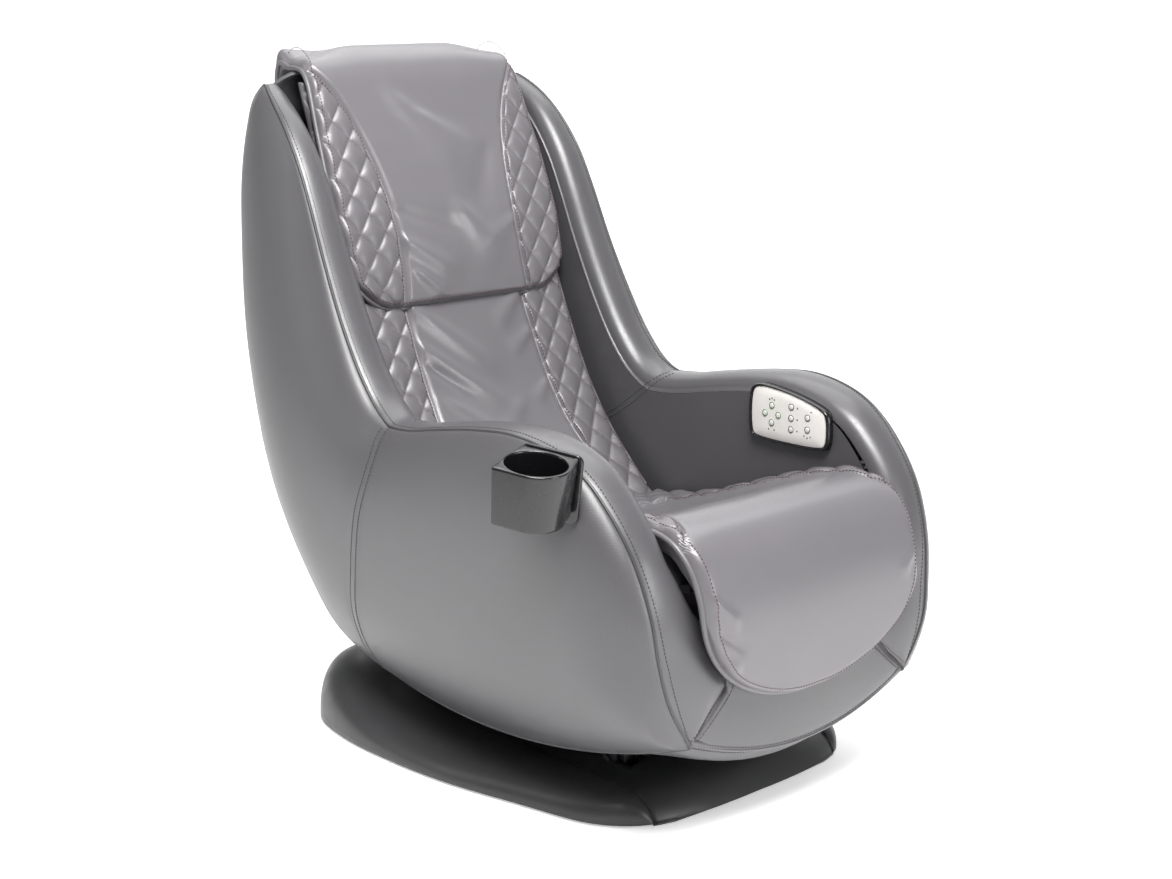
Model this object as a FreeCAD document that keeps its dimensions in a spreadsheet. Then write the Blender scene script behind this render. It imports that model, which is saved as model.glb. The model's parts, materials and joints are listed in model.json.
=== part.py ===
"""Massage chair with a gliding base: a parametric FreeCAD document that writes one STEP file for each piece.

Frame: +Z up, origin on the floor at the middle of the central foot, -Y the way the sitter faces, +X the sitter's
left-hand side. Lengths are millimetres and angles are degrees.
"""
import FreeCAD
import Part
import math
import os

from FreeCAD import Placement, Rotation, Vector

os.makedirs("parts", exist_ok=True)
doc = FreeCAD.newDocument("massage_chair")
sheet = doc.addObject("Spreadsheet::Sheet", "sizes")

# ---------------------------------------------------------------- driving dimensions
SIZES = [
    # the chair's shell
    ("pad_gap_half", 222.0), ("seam_half", 277.0), ("shell_reach", 70.0), ("centre_width", 443.0),
    ("board_thickness", 15.0), ("board_offset", 256.0), ("cover_wall", 5.0), ("pan_wall", 4.0),
    ("front_pad_thickness", 14.0), ("overlay_thickness", 12.0), ("overlay_width", 420.0),
    ("cushion_width", 439.0), ("head_pad_thickness", 16.0), ("head_pad_width", 410.0),
    # the glide: rails on the chair, rollers in the base
    ("glide_radius", 1080.0), ("glide_centre_y", -70.0), ("glide_centre_z", 1164.0),
    ("rail_depth", 20.0), ("rail_width", 12.0), ("rail_offset", 130.0), ("track_roller_radius", 22.0),
    ("track_axle_radius", 6.0), ("cradle_gap", 12.0),
    ("front_roller_angle", -7.5), ("rear_roller_angle", 8.5), ("roll_back", 7.0), ("roll_forward", 3.0),
    # the base
    ("base_split_half", 190.0), ("base_wall", 4.0), ("base_plate_thickness", 4.0), ("foot_height", 12.0),
    ("foot_radius", 20.0), ("cover_lift", 2.0),
    # the massage unit and its curved track
    ("track_radius", 2000.0), ("track_mid_y", 352.0), ("track_mid_z", 605.0), ("track_lean", 23.5),
    ("channel_inner", 165.0), ("channel_width", 25.0), ("channel_depth", 32.0), ("channel_wall", 2.5),
    ("rack_module", 2.0), ("pinion_teeth", 12.0), ("rack_pitch_offset", 7.0), ("rack_width", 14.0),
    ("guide_wheel_radius", 13.2), ("massage_roller_radius", 18.0), ("massage_roller_width", 22.0),
    ("knead_shaft_radius", 6.0), ("arm_thickness", 12.0),
    # controls and cup holder
    ("key_radius", 4.5), ("key_height", 3.0), ("faceplate_thickness", 2.0),
    ("cup_bore_radius", 40.0), ("cup_wall", 4.0), ("cup_height", 78.0), ("cup_depth", 70.0),
]
for row, (alias, value) in enumerate(SIZES, start=1):
    sheet.set("A%d" % row, alias)
    sheet.set("B%d" % row, str(value))
    sheet.setAlias("B%d" % row, alias)
doc.recompute()
size = {alias: float(sheet.get(alias)) for alias, _ in SIZES}

GLIDE_CENTRE = Vector(0, size["glide_centre_y"], size["glide_centre_z"])
nodes = {}


# ---------------------------------------------------------------- helpers
def keep(node, *objects):
    """Records the document objects whose solids make up one piece, and labels the piece."""
    objects[0].Label = node
    nodes[node] = objects
    return objects[0]


def bind(obj, **expressions):
    for prop, expression in expressions.items():
        obj.setExpression(prop, expression)
    return obj


def plane_of(body, role):
    return next(f for f in body.Origin.OriginFeatures if f.Role == role)


def sketch_on(body, role, name, offset=0.0):
    """A sketch on one of the body's own origin planes, moved along the plane's normal."""
    sketch = body.newObject("Sketcher::SketchObject", name)
    sketch.AttachmentSupport = [(plane_of(body, role), "")]
    sketch.MapMode = "FlatFace"
    sketch.AttachmentOffset = Placement(Vector(0, 0, offset), Rotation())
    return sketch


def flat(point):
    return Vector(point[0], point[1], 0)


def curve_through(points):
    curve = Part.BSplineCurve()
    curve.interpolate([flat(p) for p in points])
    return curve


def add_outline(sketch, *runs):
    """Closes a sketch outline from runs of points: two points make a line, more make a smooth curve."""
    for points in runs:
        if len(points) == 2:
            sketch.addGeometry(Part.LineSegment(flat(points[0]), flat(points[1])), False)
        else:
            sketch.addGeometry(curve_through(points), False)


def offset_points(points, distance):
    """The same run of points moved to the left of its direction of travel."""
    curve = curve_through(points)
    moved = []
    for p in points:
        tangent = curve.tangent(curve.parameter(flat(p)))[0]
        moved.append((p[0] - tangent.y * distance, p[1] + tangent.x * distance))
    return moved


def band(name, points, width, thickness, inward=1.0):
    """A curved sheet: a side-view run of (y, z) points, given a thickness and padded across the chair."""
    body = doc.addObject("PartDesign::Body", name)
    sketch = sketch_on(body, "YZ_Plane", name + "_profile")
    inner = offset_points(points, inward * size[thickness])
    add_outline(sketch, points, [points[-1], inner[-1]], inner[::-1], [inner[0], points[0]])
    pad = body.newObject("PartDesign::Pad", name + "_pad")
    pad.Profile = sketch
    pad.Midplane = True
    bind(pad, Length="sizes." + width)
    body.Tip = pad
    return body


def side_prism(name, runs, start, length):
    """A side-view outline padded along +X from start over a length; both may be sheet expressions."""
    body = doc.addObject("PartDesign::Body", name)
    sketch = sketch_on(body, "YZ_Plane", name + "_profile")
    sketch.setExpression("AttachmentOffset.Base.z", start)
    add_outline(sketch, *runs)
    pad = body.newObject("PartDesign::Pad", name + "_pad")
    pad.Profile = sketch
    bind(pad, Length=length)
    body.Tip = pad
    return body


def block(name, low, high):
    """A Part::Box from its lowest corner to its highest; each coordinate is a number or an expression."""
    box = doc.addObject("Part::Box", name)
    for axis, prop, a, b in zip("xyz", ("Length", "Width", "Height"), low, high):
        if isinstance(a, str) or isinstance(b, str):
            box.setExpression(prop, "(%s) - (%s)" % (b, a))
            box.setExpression("Placement.Base." + axis, str(a))
        else:
            setattr(box, prop, b - a)
            setattr(box.Placement.Base, axis, a)
            box.setExpression("Placement.Base." + axis, str(a))
    return box


def rod(name, radius, length, start, axis=(1, 0, 0)):
    """A Part::Cylinder that starts at a point and runs along an axis."""
    cylinder = doc.addObject("Part::Cylinder", name)
    for prop, value in (("Radius", radius), ("Height", length)):
        if isinstance(value, str):
            cylinder.setExpression(prop, value)
        else:
            setattr(cylinder, prop, value)
    cylinder.Placement = Placement(Vector(*start), Rotation(Vector(0, 0, 1), Vector(*axis)))
    return cylinder


def fuse(name, *parts):
    obj = doc.addObject("Part::MultiFuse", name)
    obj.Shapes = list(parts)
    return obj


def cut(name, base, *tools):
    obj = doc.addObject("Part::Cut", name)
    obj.Base = base
    obj.Tool = tools[0] if len(tools) == 1 else fuse(name + "_tools", *tools)
    return obj


def common(name, *parts):
    obj = doc.addObject("Part::MultiCommon", name)
    obj.Shapes = list(parts)
    return obj


def mirrored(name, source):
    obj = doc.addObject("Part::Mirroring", name)
    obj.Source = source
    obj.Normal = Vector(1, 0, 0)
    return obj


def both_sides(stem, left):
    """Keeps a piece for the sitter's left and its mirror image for the right."""
    keep(stem + "_left", left)
    keep(stem + "_right", mirrored(stem + "_right", left))


# ---------------------------------------------------------------- outlines, seen from the side (y, z)
def glide_point(angle, extra=0.0):
    """The point of the chair's underside, or a circle that much further out, at an angle behind straight down."""
    radius = size["glide_radius"] + extra
    a = math.radians(angle)
    return (GLIDE_CENTRE.y + radius * math.sin(a), GLIDE_CENTRE.z - radius * math.cos(a))


FRONT_ANGLE, REAR_ANGLE = -19.5, 14.8
WING_EDGE = [(436, 975), (394, 946), (353, 913), (310, 860), (280, 807), (245, 723), (200, 634), (156, 562),
             (118, 523), (84, 507), (37, 509), (-45, 523), (-126, 535), (-195, 541), (-263, 532), (-320, 508),
             (-384, 446), (-431, 338), (-444, 261), (-447, 200), glide_point(FRONT_ANGLE)]
REAR_EDGE = [glide_point(REAR_ANGLE), (256, 155), (305, 224), (373, 349), (425, 529), (445, 620), (456, 726),
             (457, 833), (453, 908), (447, 950), (436, 975)]
BOTTOM_EDGE = [glide_point(a) for a in (FRONT_ANGLE, -11, -2, 7, REAR_ANGLE)]
SHELL_HALF_WIDTH = [(150, 78), (205, 98), (262, 150), (300, 215), (325, 300), (338, 400), (338, 490), (326, 600),
                    (308, 700), (298, 800), (288, 880), (272, 950), (250, 995)]
BACK_FACE = [(66, 328), (105, 364), (165, 428), (214, 500), (258, 590), (288, 660), (325, 760), (362, 860),
             (392, 940), (404, 975)]


# ---------------------------------------------------------------- shell: side panels, liners, boards
def front_envelope():
    """The shell as seen from the front, padded right through: it trims the side prisms to their egg shape."""
    body = doc.addObject("PartDesign::Body", "front_envelope")
    sketch = sketch_on(body, "XZ_Plane", "front_envelope_profile")
    right = SHELL_HALF_WIDTH
    left = [(-x, z) for x, z in reversed(right)]
    add_outline(sketch, right, [right[-1], left[0]], left, [left[-1], right[0]])
    pad = body.newObject("PartDesign::Pad", "front_envelope_pad")
    pad.Profile = sketch
    pad.Midplane = True
    pad.Length = 1200
    body.Tip = pad
    return body


def make_wings():
    envelope = front_envelope()
    outline = (WING_EDGE, BOTTOM_EDGE, REAR_EDGE)
    outer = side_prism("side_panel_blank", outline, "sizes.seam_half", "sizes.shell_reach")
    both_sides("side_panel", common("side_panel", outer, envelope))

    board_edge = [(-395, 195), (-395, 415), (-330, 470), (-190, 505), (70, 475), (150, 505), (225, 620),
                  (290, 760), (330, 850), (390, 930), (425, 930), (425, 720), (400, 560), (340, 360),
                  (275, 250), (215, 195), (-395, 195)]
    runs = [[a, b] for a, b in zip(board_edge[:-1], board_edge[1:])]
    board = side_prism("side_board", runs, "sizes.board_offset", "sizes.board_thickness")
    both_sides("side_board", board)

    inner = side_prism("arm_liner_blank", outline, "sizes.pad_gap_half", "sizes.seam_half - sizes.pad_gap_half")
    trimmed = common("arm_liner_trimmed", inner, envelope)
    return cut("arm_liner", trimmed, board)


# ---------------------------------------------------------------- shell: centre covers and pads
def make_centre_covers():
    rear_points = [(217, 127), (257, 156), (305, 224), (373, 349), (425, 529), (445, 620), (456, 726), (457, 833),
                   (453, 908), (445, 960), (427, 985), (402, 990)]
    rear = band("rear_cover_sheet", rear_points, "centre_width", "cover_wall")
    opening = module_block("inlet_opening", (-31, -15), (31, 15), -20, 20)
    keep("rear_cover", cut("rear_cover", rear, opening))

    pan = doc.addObject("PartDesign::Body", "bottom_pan")
    sketch = sketch_on(pan, "YZ_Plane", "bottom_pan_profile")
    angles = (-18.3, -10, -2, 6, 14.6)
    lower = [glide_point(a) for a in angles]
    upper = [glide_point(a, -size["pan_wall"]) for a in reversed(angles)]
    add_outline(sketch, lower, [lower[-1], upper[0]], upper, [upper[-1], lower[0]])
    pad = pan.newObject("PartDesign::Pad", "bottom_pan_pad")
    pad.Profile = sketch
    pad.Midplane = True
    bind(pad, Length="sizes.centre_width")
    pan.Tip = pad
    keep("bottom_pan", pan)

    front_points = [(-428, 149), (-442, 166), (-447.5, 200), (-448, 260), (-446, 325), (-443, 352)]
    keep("front_panel", band("front_panel", front_points, "centre_width", "front_pad_thickness", -1.0))


def make_pads():
    keep("back_overlay", band("back_overlay", BACK_FACE, "overlay_width", "overlay_thickness", -1.0))

    cushion = doc.addObject("PartDesign::Body", "seat_cushion")
    sketch = sketch_on(cushion, "YZ_Plane", "seat_cushion_profile")
    top = [(48, 324), (-20, 331), (-90, 349), (-160, 372), (-250, 406), (-330, 432), (-385, 441), (-434, 424),
           (-461, 385), (-469, 320), (-470, 260), (-465, 203)]
    under = [(-451, 203), (-452, 260), (-451, 330), (-443, 378), (-415, 388), (-340, 373), (-200, 340),
             (-80, 311), (45, 284)]
    add_outline(sketch, top, [top[-1], under[0]], under, [under[-1], top[0]])
    pad = cushion.newObject("PartDesign::Pad", "seat_cushion_pad")
    pad.Profile = sketch
    pad.Midplane = True
    bind(pad, Length="sizes.cushion_width")
    cushion.Tip = pad
    keep("seat_cushion", cushion)

    hanging = offset_points([(281, 643), (325, 760), (362, 860), (388, 930)], 1.0)
    keep("head_pad", band("head_pad", hanging, "head_pad_width", "head_pad_thickness"))
    over_top = [(371, 943), (385, 983), (404, 1012), (430, 1022), (455, 1010), (468, 978), (471, 935)]
    keep("head_pad_flap", band("head_pad_flap", over_top, "head_pad_width", "overlay_thickness", -1.0))


# ---------------------------------------------------------------- power inlet at the lower back
MODULE_CENTRE = Vector(0, 343, 294)
MODULE_NORMAL = Vector(0, 0.879, -0.477)


def module_block(name, low, high, start, end, radius=0.0):
    """A block in the power module's own frame: two sizes across the cover and a depth out of it."""
    box = doc.addObject("Part::Box", name)
    box.Length, box.Width, box.Height = high[0] - low[0], high[1] - low[1], end - start
    turn = Rotation(Vector(0, 0, 1), MODULE_NORMAL).multiply(Rotation(Vector(0, 0, 1), 180))
    box.Placement = Placement(MODULE_CENTRE, turn).multiply(
        Placement(Vector(low[0], low[1], start), Rotation()))
    return box


def make_power():
    flange = module_block("inlet_flange", (-35, -19), (35, 19), 3.2, 6)
    barrel = module_block("inlet_barrel", (-30, -14), (30, 14), -22, 3.3)
    socket = module_block("inlet_socket", (-26, -10), (2, 10), -14, 7)
    well = module_block("inlet_switch_well", (8, -7.5), (27, 7.5), -8, 7)
    housing = cut("power_inlet_housing", fuse("inlet_shell", flange, barrel), socket, well)
    pins = [module_block("inlet_pin_%d" % k, (x - 1, y - 2), (x + 1, y + 2), -14.5, -2)
            for k, (x, y) in enumerate(((-19, -3), (-12, 3), (-5, -3)))]
    keep("power_inlet", fuse("power_inlet", housing, *pins))
    keep("power_switch", module_block("power_switch", (9, -6.5), (26, 6.5), -3, 4.2))
    keep("power_supply", block("power_supply", (-165, -120, 150), (-30, 40, 205)))
    keep("air_pump", block("air_pump", (35, -200, 150), (165, 10, 225)))


# ---------------------------------------------------------------- chair frame and glide rails
def make_frames():
    tubes = []
    for side, x in (("left", 192), ("right", -212)):
        tubes.append(block("seat_side_tube_" + side, (x, -405, 222), (x + 20, 178, 242)))
        for k, (y, z) in enumerate(((-300, 117), (95, 107))):
            post_x = 120 if x > 0 else -140
            tubes.append(block("seat_post_%s_%d" % (side, k), (post_x, y, z), (post_x + 20, y + 20, 230)))
    for k, y in enumerate((-405, -220, 20, 158)):
        tubes.append(block("seat_cross_tube_%d" % k, (-195, y, 225), (195, y + 20, 242)))
    board = doc.addObject("Part::Box", "seat_board")
    board.Length, board.Width, board.Height = 410, 455, 10
    board.Placement = Placement(Vector(-205, -425, 355), Rotation(Vector(1, 0, 0), -12.4))
    braces = [block("seat_brace_%d" % k, (x, -400, 240), (x + 14, -384, 335)) for k, x in ((0, -180), (1, 166))]
    keep("seat_frame", fuse("seat_frame", *tubes, *braces), board)

    rails = [glide_sector("rocker_rail_%d" % k, x, 0.3, size["rail_depth"], size["rail_width"], -12.5, 17)
             for k, x in enumerate((size["rail_offset"], -size["rail_offset"]))]
    lug = glide_sector("stop_lug", 0, 0.3, 9, 40, -0.5, 0.5)
    keep("rocker_rails", *rails, lug)

    keep("seat_airbag", *[sloped_pad("seat_airbag_%d" % k, x) for k, x in ((0, -165), (1, 15))])


def sloped_pad(name, x):
    pad = doc.addObject("Part::Box", name)
    pad.Length, pad.Width, pad.Height = 150, 300, 8
    board_place = Placement(Vector(0, -425, 355), Rotation(Vector(1, 0, 0), -12.4))
    pad.Placement = board_place.multiply(Placement(Vector(x, 70, 10.5), Rotation()))
    return pad


def glide_sector(name, x, gap, depth, width, start, end):
    """A curved bar that runs round the glide centre, gap below the pan, between two angles."""
    body = doc.addObject("PartDesign::Body", name)
    sketch = sketch_on(body, "XZ_Plane", name + "_section")
    near = size["glide_radius"] + gap
    corners = [(-width / 2, -near), (width / 2, -near), (width / 2, -near - depth), (-width / 2, -near - depth)]
    add_outline(sketch, *[[a, b] for a, b in zip(corners, corners[1:] + corners[:1])])
    turn = body.newObject("PartDesign::Revolution", name + "_turn")
    turn.Profile = sketch
    turn.ReferenceAxis = (plane_of(body, "X_Axis"), [""])
    turn.Angle = end - start
    body.Tip = turn
    body.Placement = Placement(GLIDE_CENTRE + Vector(x, 0, 0), Rotation(Vector(1, 0, 0), start))
    return body


# ---------------------------------------------------------------- base
RIDGE = [(-380, 0), (-363, 26), (-340, 40), (-229, 44), (-102, 43), (57, 53), (177, 75), (257, 106),
         (312, 106), (356, 70), (378, 24), (396, 0)]
CRADLE_FRONT = [(-380, 0), (-364, 26), (-346, 40), (-300, 51), (-250, 62), (-200, 70),
                (-150, 72)]
CRADLE_REAR = [(262, 115), (318, 105), (358, 70), (380, 24), (396, 0)]


def footprint(inset, height):
    """The base's plan outline at a height, drawn in by an inset."""
    half = [(0, -368), (112, -366), (200, -345), (250, -288), (281, -161), (306, -35), (314, 90), (310, 190),
            (288, 284), (240, 345), (120, 378), (0, 384)]
    right = [Vector(x * (1 - inset / 313.0), 8 + (y - 8) * (1 - inset / 376.0), height) for x, y in half]
    left = [Vector(-p.x, p.y, height) for p in reversed(right[1:-1])]
    ring = Part.BSplineCurve()
    ring.interpolate(right + left, PeriodicFlag=True)
    return Part.Wire(ring.toShape())


def tapered_walls(name, inset):
    """A solid with the base's plan outline that tapers inwards as it rises."""
    bottom, top = size["cover_lift"], 122.0
    walls = doc.addObject("Part::Feature", name)
    walls.Shape = Part.makeLoft([footprint(inset, bottom), footprint(inset + 58, top)], True, True)
    return walls


def cover_shell(name, top_line, outer_walls, inner_walls, cover):
    """An open-bottomed shell one wall thick: tapered walls under a top that follows a side-view line."""
    layers = []
    for label, walls, drop in (("outer", outer_walls, 0), ("inner", inner_walls, size["base_wall"])):
        line = [(y, z - drop) for y, z in top_line]
        line[0], line[-1] = (line[0][0], -10), (line[-1][0], -10)
        under = side_prism("%s_%s" % (name, label), (line, [line[-1], line[0]]), "-340", "680")
        layers.append(common("%s_%s_layer" % (name, label), walls, under, cover))
    return cut(name, *layers)


def make_base():
    outer = tapered_walls("base_outer_walls", 0.0)
    inner = tapered_walls("base_inner_walls", size["base_wall"] + 1)
    side = block("base_side_region", ("sizes.base_split_half + 0.3", -420, 1), (330, 420, 130))
    both_sides("base_side_cover", cover_shell("base_side_cover_blank", RIDGE, outer, inner, side))

    arc = [glide_point(a, size["cradle_gap"]) for a in (-2, 2, 6, 10, 14.5)]
    middle = block("base_centre_region", ("-sizes.base_split_half", -420, 1), ("sizes.base_split_half", 420, 130))
    cover = cover_shell("base_cradle", CRADLE_FRONT + arc + CRADLE_REAR, outer, inner, middle)
    slots = [block("base_slot_%d" % k, (x, -262, 45), (x + 34, 305, 140)) for k, x in ((0, 113), (1, -147))]
    keep("base_center_cover", cut("base_center_cover", cover, *slots))

    frame_parts = [block("base_plate", (-185, -325, "sizes.foot_height"),
                         (185, 325, "sizes.foot_height + sizes.base_plate_thickness"))]
    for k, y in enumerate((-300, 270)):
        reach = 215 if y < 0 else 255
        frame_parts.append(block("base_outrigger_%d" % k, (-reach, y, "sizes.foot_height"),
                                 (reach, y + 36, "sizes.foot_height + sizes.base_plate_thickness")))
    for k, x in enumerate((-100, 80)):
        frame_parts.append(block("base_stringer_%d" % k, (x, -300, 15), (x + 20, 290, 35)))
    keep("base_frame", fuse("base_frame", *frame_parts))

    feet = [rod("base_foot_%d" % k, "sizes.foot_radius", "sizes.foot_height", (x, y, 0), (0, 0, 1))
            for k, (x, y) in enumerate(((-195, -282), (195, -282), (-235, 288), (235, 288), (0, 0)))]
    keep("base_feet", *feet)

    stops = []
    for k, (angle, leg) in enumerate(((-size["roll_back"] - 1.35, 14.0), (size["roll_forward"] + 1.35, 0.0))):
        y, z = glide_point(angle, size["cradle_gap"] + 0.2)
        stop = doc.addObject("Part::Box", "stop_buffer_%d" % k)
        stop.Length, stop.Width, stop.Height = 36, 26, 8 + leg
        stop.Placement = Placement(Vector(0, y, z), Rotation(Vector(1, 0, 0), angle)).multiply(
            Placement(Vector(-18, -13, 0.2 - leg), Rotation()))
        stops.append(stop)
    keep("stop_buffers", *stops)


def make_track_rollers():
    cheeks = []
    for label, angle in (("front", size["front_roller_angle"]), ("rear", size["rear_roller_angle"])):
        reach = size["rail_depth"] + 0.3 + 0.3 + size["track_roller_radius"]
        y, z = glide_point(angle, reach)
        for k, x in enumerate((-151, -115, 111, 147)):
            plate = block("cheek_%s_%d" % (label, k), (x, y - 16, 16.2), (x + 4, y + 16, z + 9))
            bore = rod("cheek_bore_%s_%d" % (label, k), "sizes.track_axle_radius + 0.05", 20, (x - 8, y, z))
            cheeks.append(cut("cheek_plate_%s_%d" % (label, k), plate, bore))
        axle = rod(label + "_track_axle", "sizes.track_axle_radius", 312, (-156, y, z))
        keep(label + "_track_axle", axle)
        wheels = []
        for k, x in enumerate((-size["rail_offset"], size["rail_offset"])):
            tread = rod("%s_tread_%d" % (label, k), "sizes.track_roller_radius", 26, (x - 13, y, z))
            flanges = [rod("%s_flange_%d_%d" % (label, k, n), "sizes.track_roller_radius + 4", 5, (x + dx, y, z))
                       for n, dx in enumerate((-13, 8))]
            bore = rod("%s_wheel_bore_%d" % (label, k), "sizes.track_axle_radius", 40, (x - 20, y, z))
            wheels.append(cut("%s_wheel_%d" % (label, k), fuse("%s_hub_%d" % (label, k), tread, *flanges), bore))
        keep(label + "_track_rollers", *wheels)
    keep("roller_brackets", *cheeks)


# ---------------------------------------------------------------- massage track: curved channels and racks
TRACK_LEAN = size["track_lean"]
TRACK_CENTRE = Vector(
    0,
    size["track_mid_y"] - size["track_radius"] * math.cos(math.radians(TRACK_LEAN)),
    size["track_mid_z"] + size["track_radius"] * math.sin(math.radians(TRACK_LEAN)))


def track_place(along=0.0):
    """The frame at the track's own middle: +Y back through the track, +Z up along it."""
    angle = -TRACK_LEAN + math.degrees(along / size["track_radius"])
    spin = Rotation(Vector(1, 0, 0), angle)
    return Placement(TRACK_CENTRE + spin.multVec(Vector(0, size["track_radius"], 0)), spin)


UNIT = track_place()


def place_in_unit(obj, x, along, back):
    """Moves a primitive into the massage unit's frame, keeping its own turn."""
    obj.Placement = UNIT.multiply(Placement(Vector(x, back, along), obj.Placement.Rotation))
    return obj


def unit_block(name, x, along, back):
    """A block in the unit's frame from (low, high) pairs across, along the track and towards the back."""
    box = doc.addObject("Part::Box", name)
    box.Length, box.Width, box.Height = x[1] - x[0], back[1] - back[0], along[1] - along[0]
    return place_in_unit(box, x[0], along[0], back[0])


def unit_rod(name, radius, x, along, back):
    """A cylinder along X in the unit's frame."""
    cylinder = doc.addObject("Part::Cylinder", name)
    cylinder.setExpression("Radius", str(radius))
    cylinder.Height = x[1] - x[0]
    cylinder.Placement = Placement(Vector(), Rotation(Vector(0, 0, 1), Vector(1, 0, 0)))
    return place_in_unit(cylinder, x[0], along, back)


def track_sector(name, section, start, end):
    """Turns a closed (x, back) section along the track between two distances from its middle."""
    body = doc.addObject("PartDesign::Body", name)
    sketch = sketch_on(body, "XY_Plane", name + "_section")
    corners = [(x, size["track_radius"] + back) for x, back in section]
    add_outline(sketch, *[[a, b] for a, b in zip(corners, corners[1:] + corners[:1])])
    turn = body.newObject("PartDesign::Revolution", name + "_turn")
    turn.Profile = sketch
    turn.ReferenceAxis = (plane_of(body, "X_Axis"), [""])
    turn.Angle = math.degrees((end - start) / size["track_radius"])
    body.Tip = turn
    spin = -TRACK_LEAN + math.degrees(start / size["track_radius"])
    body.Placement = Placement(TRACK_CENTRE, Rotation(Vector(1, 0, 0), spin))
    return body


def make_track():
    x0, x1 = size["channel_inner"], size["channel_inner"] + size["channel_width"]
    half, wall = size["channel_depth"] / 2, size["channel_wall"]
    section = [(x0, half), (x1, half), (x1, -half), (x0, -half), (x0, -half + wall), (x1 - wall, -half + wall),
               (x1 - wall, half - wall), (x0, half - wall)]
    channel = track_sector("track_channel", section, -200, 195)
    rack = make_rack(x0)
    both_sides("massage_rail", fuse("massage_rail", channel, rack))

    post = track_sector("back_post", [(192.5, 9), (211.5, 9), (211.5, -9), (192.5, -9)], -385, 225)
    posts = [post, mirrored("back_post_right", post)]
    ties = [unit_block("back_tie_%d" % k, (-200, 200), (at, at + 18), (-9 + lift, 7 + lift))
            for k, (at, lift) in enumerate(((205, 0), (-262, 22)))]
    keep("back_frame", fuse("back_frame", *posts, *ties))


def make_rack(x_edge):
    """A toothed strip on the channel's inner edge; its straight-sided teeth point to the sitter."""
    module, pitch_back = size["rack_module"], size["rack_pitch_offset"]
    pitch_radius = size["track_radius"] + pitch_back
    step = math.pi * module / pitch_radius
    teeth = 54
    slope = math.tan(math.radians(20))
    slack = 0.12
    tip, root = -module, 1.25 * module
    points = []
    for k in range(teeth):
        middle = (k - (teeth - 1) / 2 + 0.5) * step
        half_pitch = math.pi * module / 4 - slack
        for depth, side in ((root, -1), (tip, -1), (tip, 1), (root, 1)):
            width = half_pitch + depth * slope
            angle = middle + side * width / pitch_radius
            radius = pitch_radius + depth
            points.append((radius * math.cos(angle), radius * math.sin(angle)))
    back_radius = size["track_radius"] + (size["channel_depth"] - size["channel_wall"]) / 2
    end_angle = math.atan2(points[-1][1], points[-1][0])
    outer = [(back_radius * math.cos(end_angle * f), back_radius * math.sin(end_angle * f))
             for f in (1, 0.5, 0, -0.5, -1)]
    body = doc.addObject("PartDesign::Body", "track_rack")
    sketch = sketch_on(body, "YZ_Plane", "track_rack_teeth")
    add_outline(sketch, *[[a, b] for a, b in zip(points, points[1:])])
    add_outline(sketch, [points[-1], outer[0]], outer, [outer[-1], points[0]])
    pad = body.newObject("PartDesign::Pad", "track_rack_pad")
    pad.Profile = sketch
    bind(pad, Length="sizes.rack_width + 1")
    body.Tip = pad
    body.Placement = Placement(TRACK_CENTRE + Vector(x_edge - size["rack_width"], 0, 0),
                               Rotation(Vector(1, 0, 0), -TRACK_LEAN))
    return body


# ---------------------------------------------------------------- massage unit that rides on the track
PINION_AT, GUIDE_AT, KNEAD_AT = -30.0, 58.0, 12.0
PITCH_RADIUS = size["rack_module"] * size["pinion_teeth"] / 2
PINION_RING = size["track_radius"] + size["rack_pitch_offset"] - PITCH_RADIUS
PINION_BACK = math.sqrt(PINION_RING ** 2 - PINION_AT ** 2) - size["track_radius"]
GUIDE_BACK = math.sqrt(size["track_radius"] ** 2 - GUIDE_AT ** 2) - size["track_radius"]
KNEAD_BACK = -18.0


def involute(base_radius, radius):
    turn = math.sqrt((radius / base_radius) ** 2 - 1)
    return turn - math.atan(turn)


def pinion(name, x):
    """A spur pinion with involute flanks, a tooth gap facing the rack's middle tooth."""
    module, teeth = size["rack_module"], int(size["pinion_teeth"])
    pitch = module * teeth / 2
    base = pitch * math.cos(math.radians(20))
    tip, root = pitch + 0.92 * module, pitch - 1.3 * module
    half_at_pitch = math.pi / (2 * teeth) - 0.10 / pitch
    ring = []
    for k in range(teeth):
        middle = 2 * math.pi * (k + 0.5) / teeth
        flank = []
        for j in range(6):
            radius = base + (tip - base) * j / 5
            flank.append((radius, half_at_pitch + involute(base, pitch) - involute(base, radius)))
        flank.insert(0, (root, flank[0][1]))
        for radius, half in flank:
            ring.append((radius * math.cos(middle - half), radius * math.sin(middle - half)))
        for radius, half in reversed(flank):
            ring.append((radius * math.cos(middle + half), radius * math.sin(middle + half)))
    body = doc.addObject("PartDesign::Body", name)
    sketch = sketch_on(body, "YZ_Plane", name + "_teeth")
    add_outline(sketch, *[[a, b] for a, b in zip(ring, ring[1:] + ring[:1])])
    pad = body.newObject("PartDesign::Pad", name + "_pad")
    pad.Profile = sketch
    bind(pad, Length="sizes.rack_width - 2")
    body.Tip = pad
    phase = math.degrees(-math.asin(PINION_AT / PINION_RING) * PINION_RING / pitch)
    body.Placement = UNIT.multiply(Placement(Vector(x, PINION_BACK, PINION_AT), Rotation(Vector(1, 0, 0), phase)))
    return body


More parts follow.
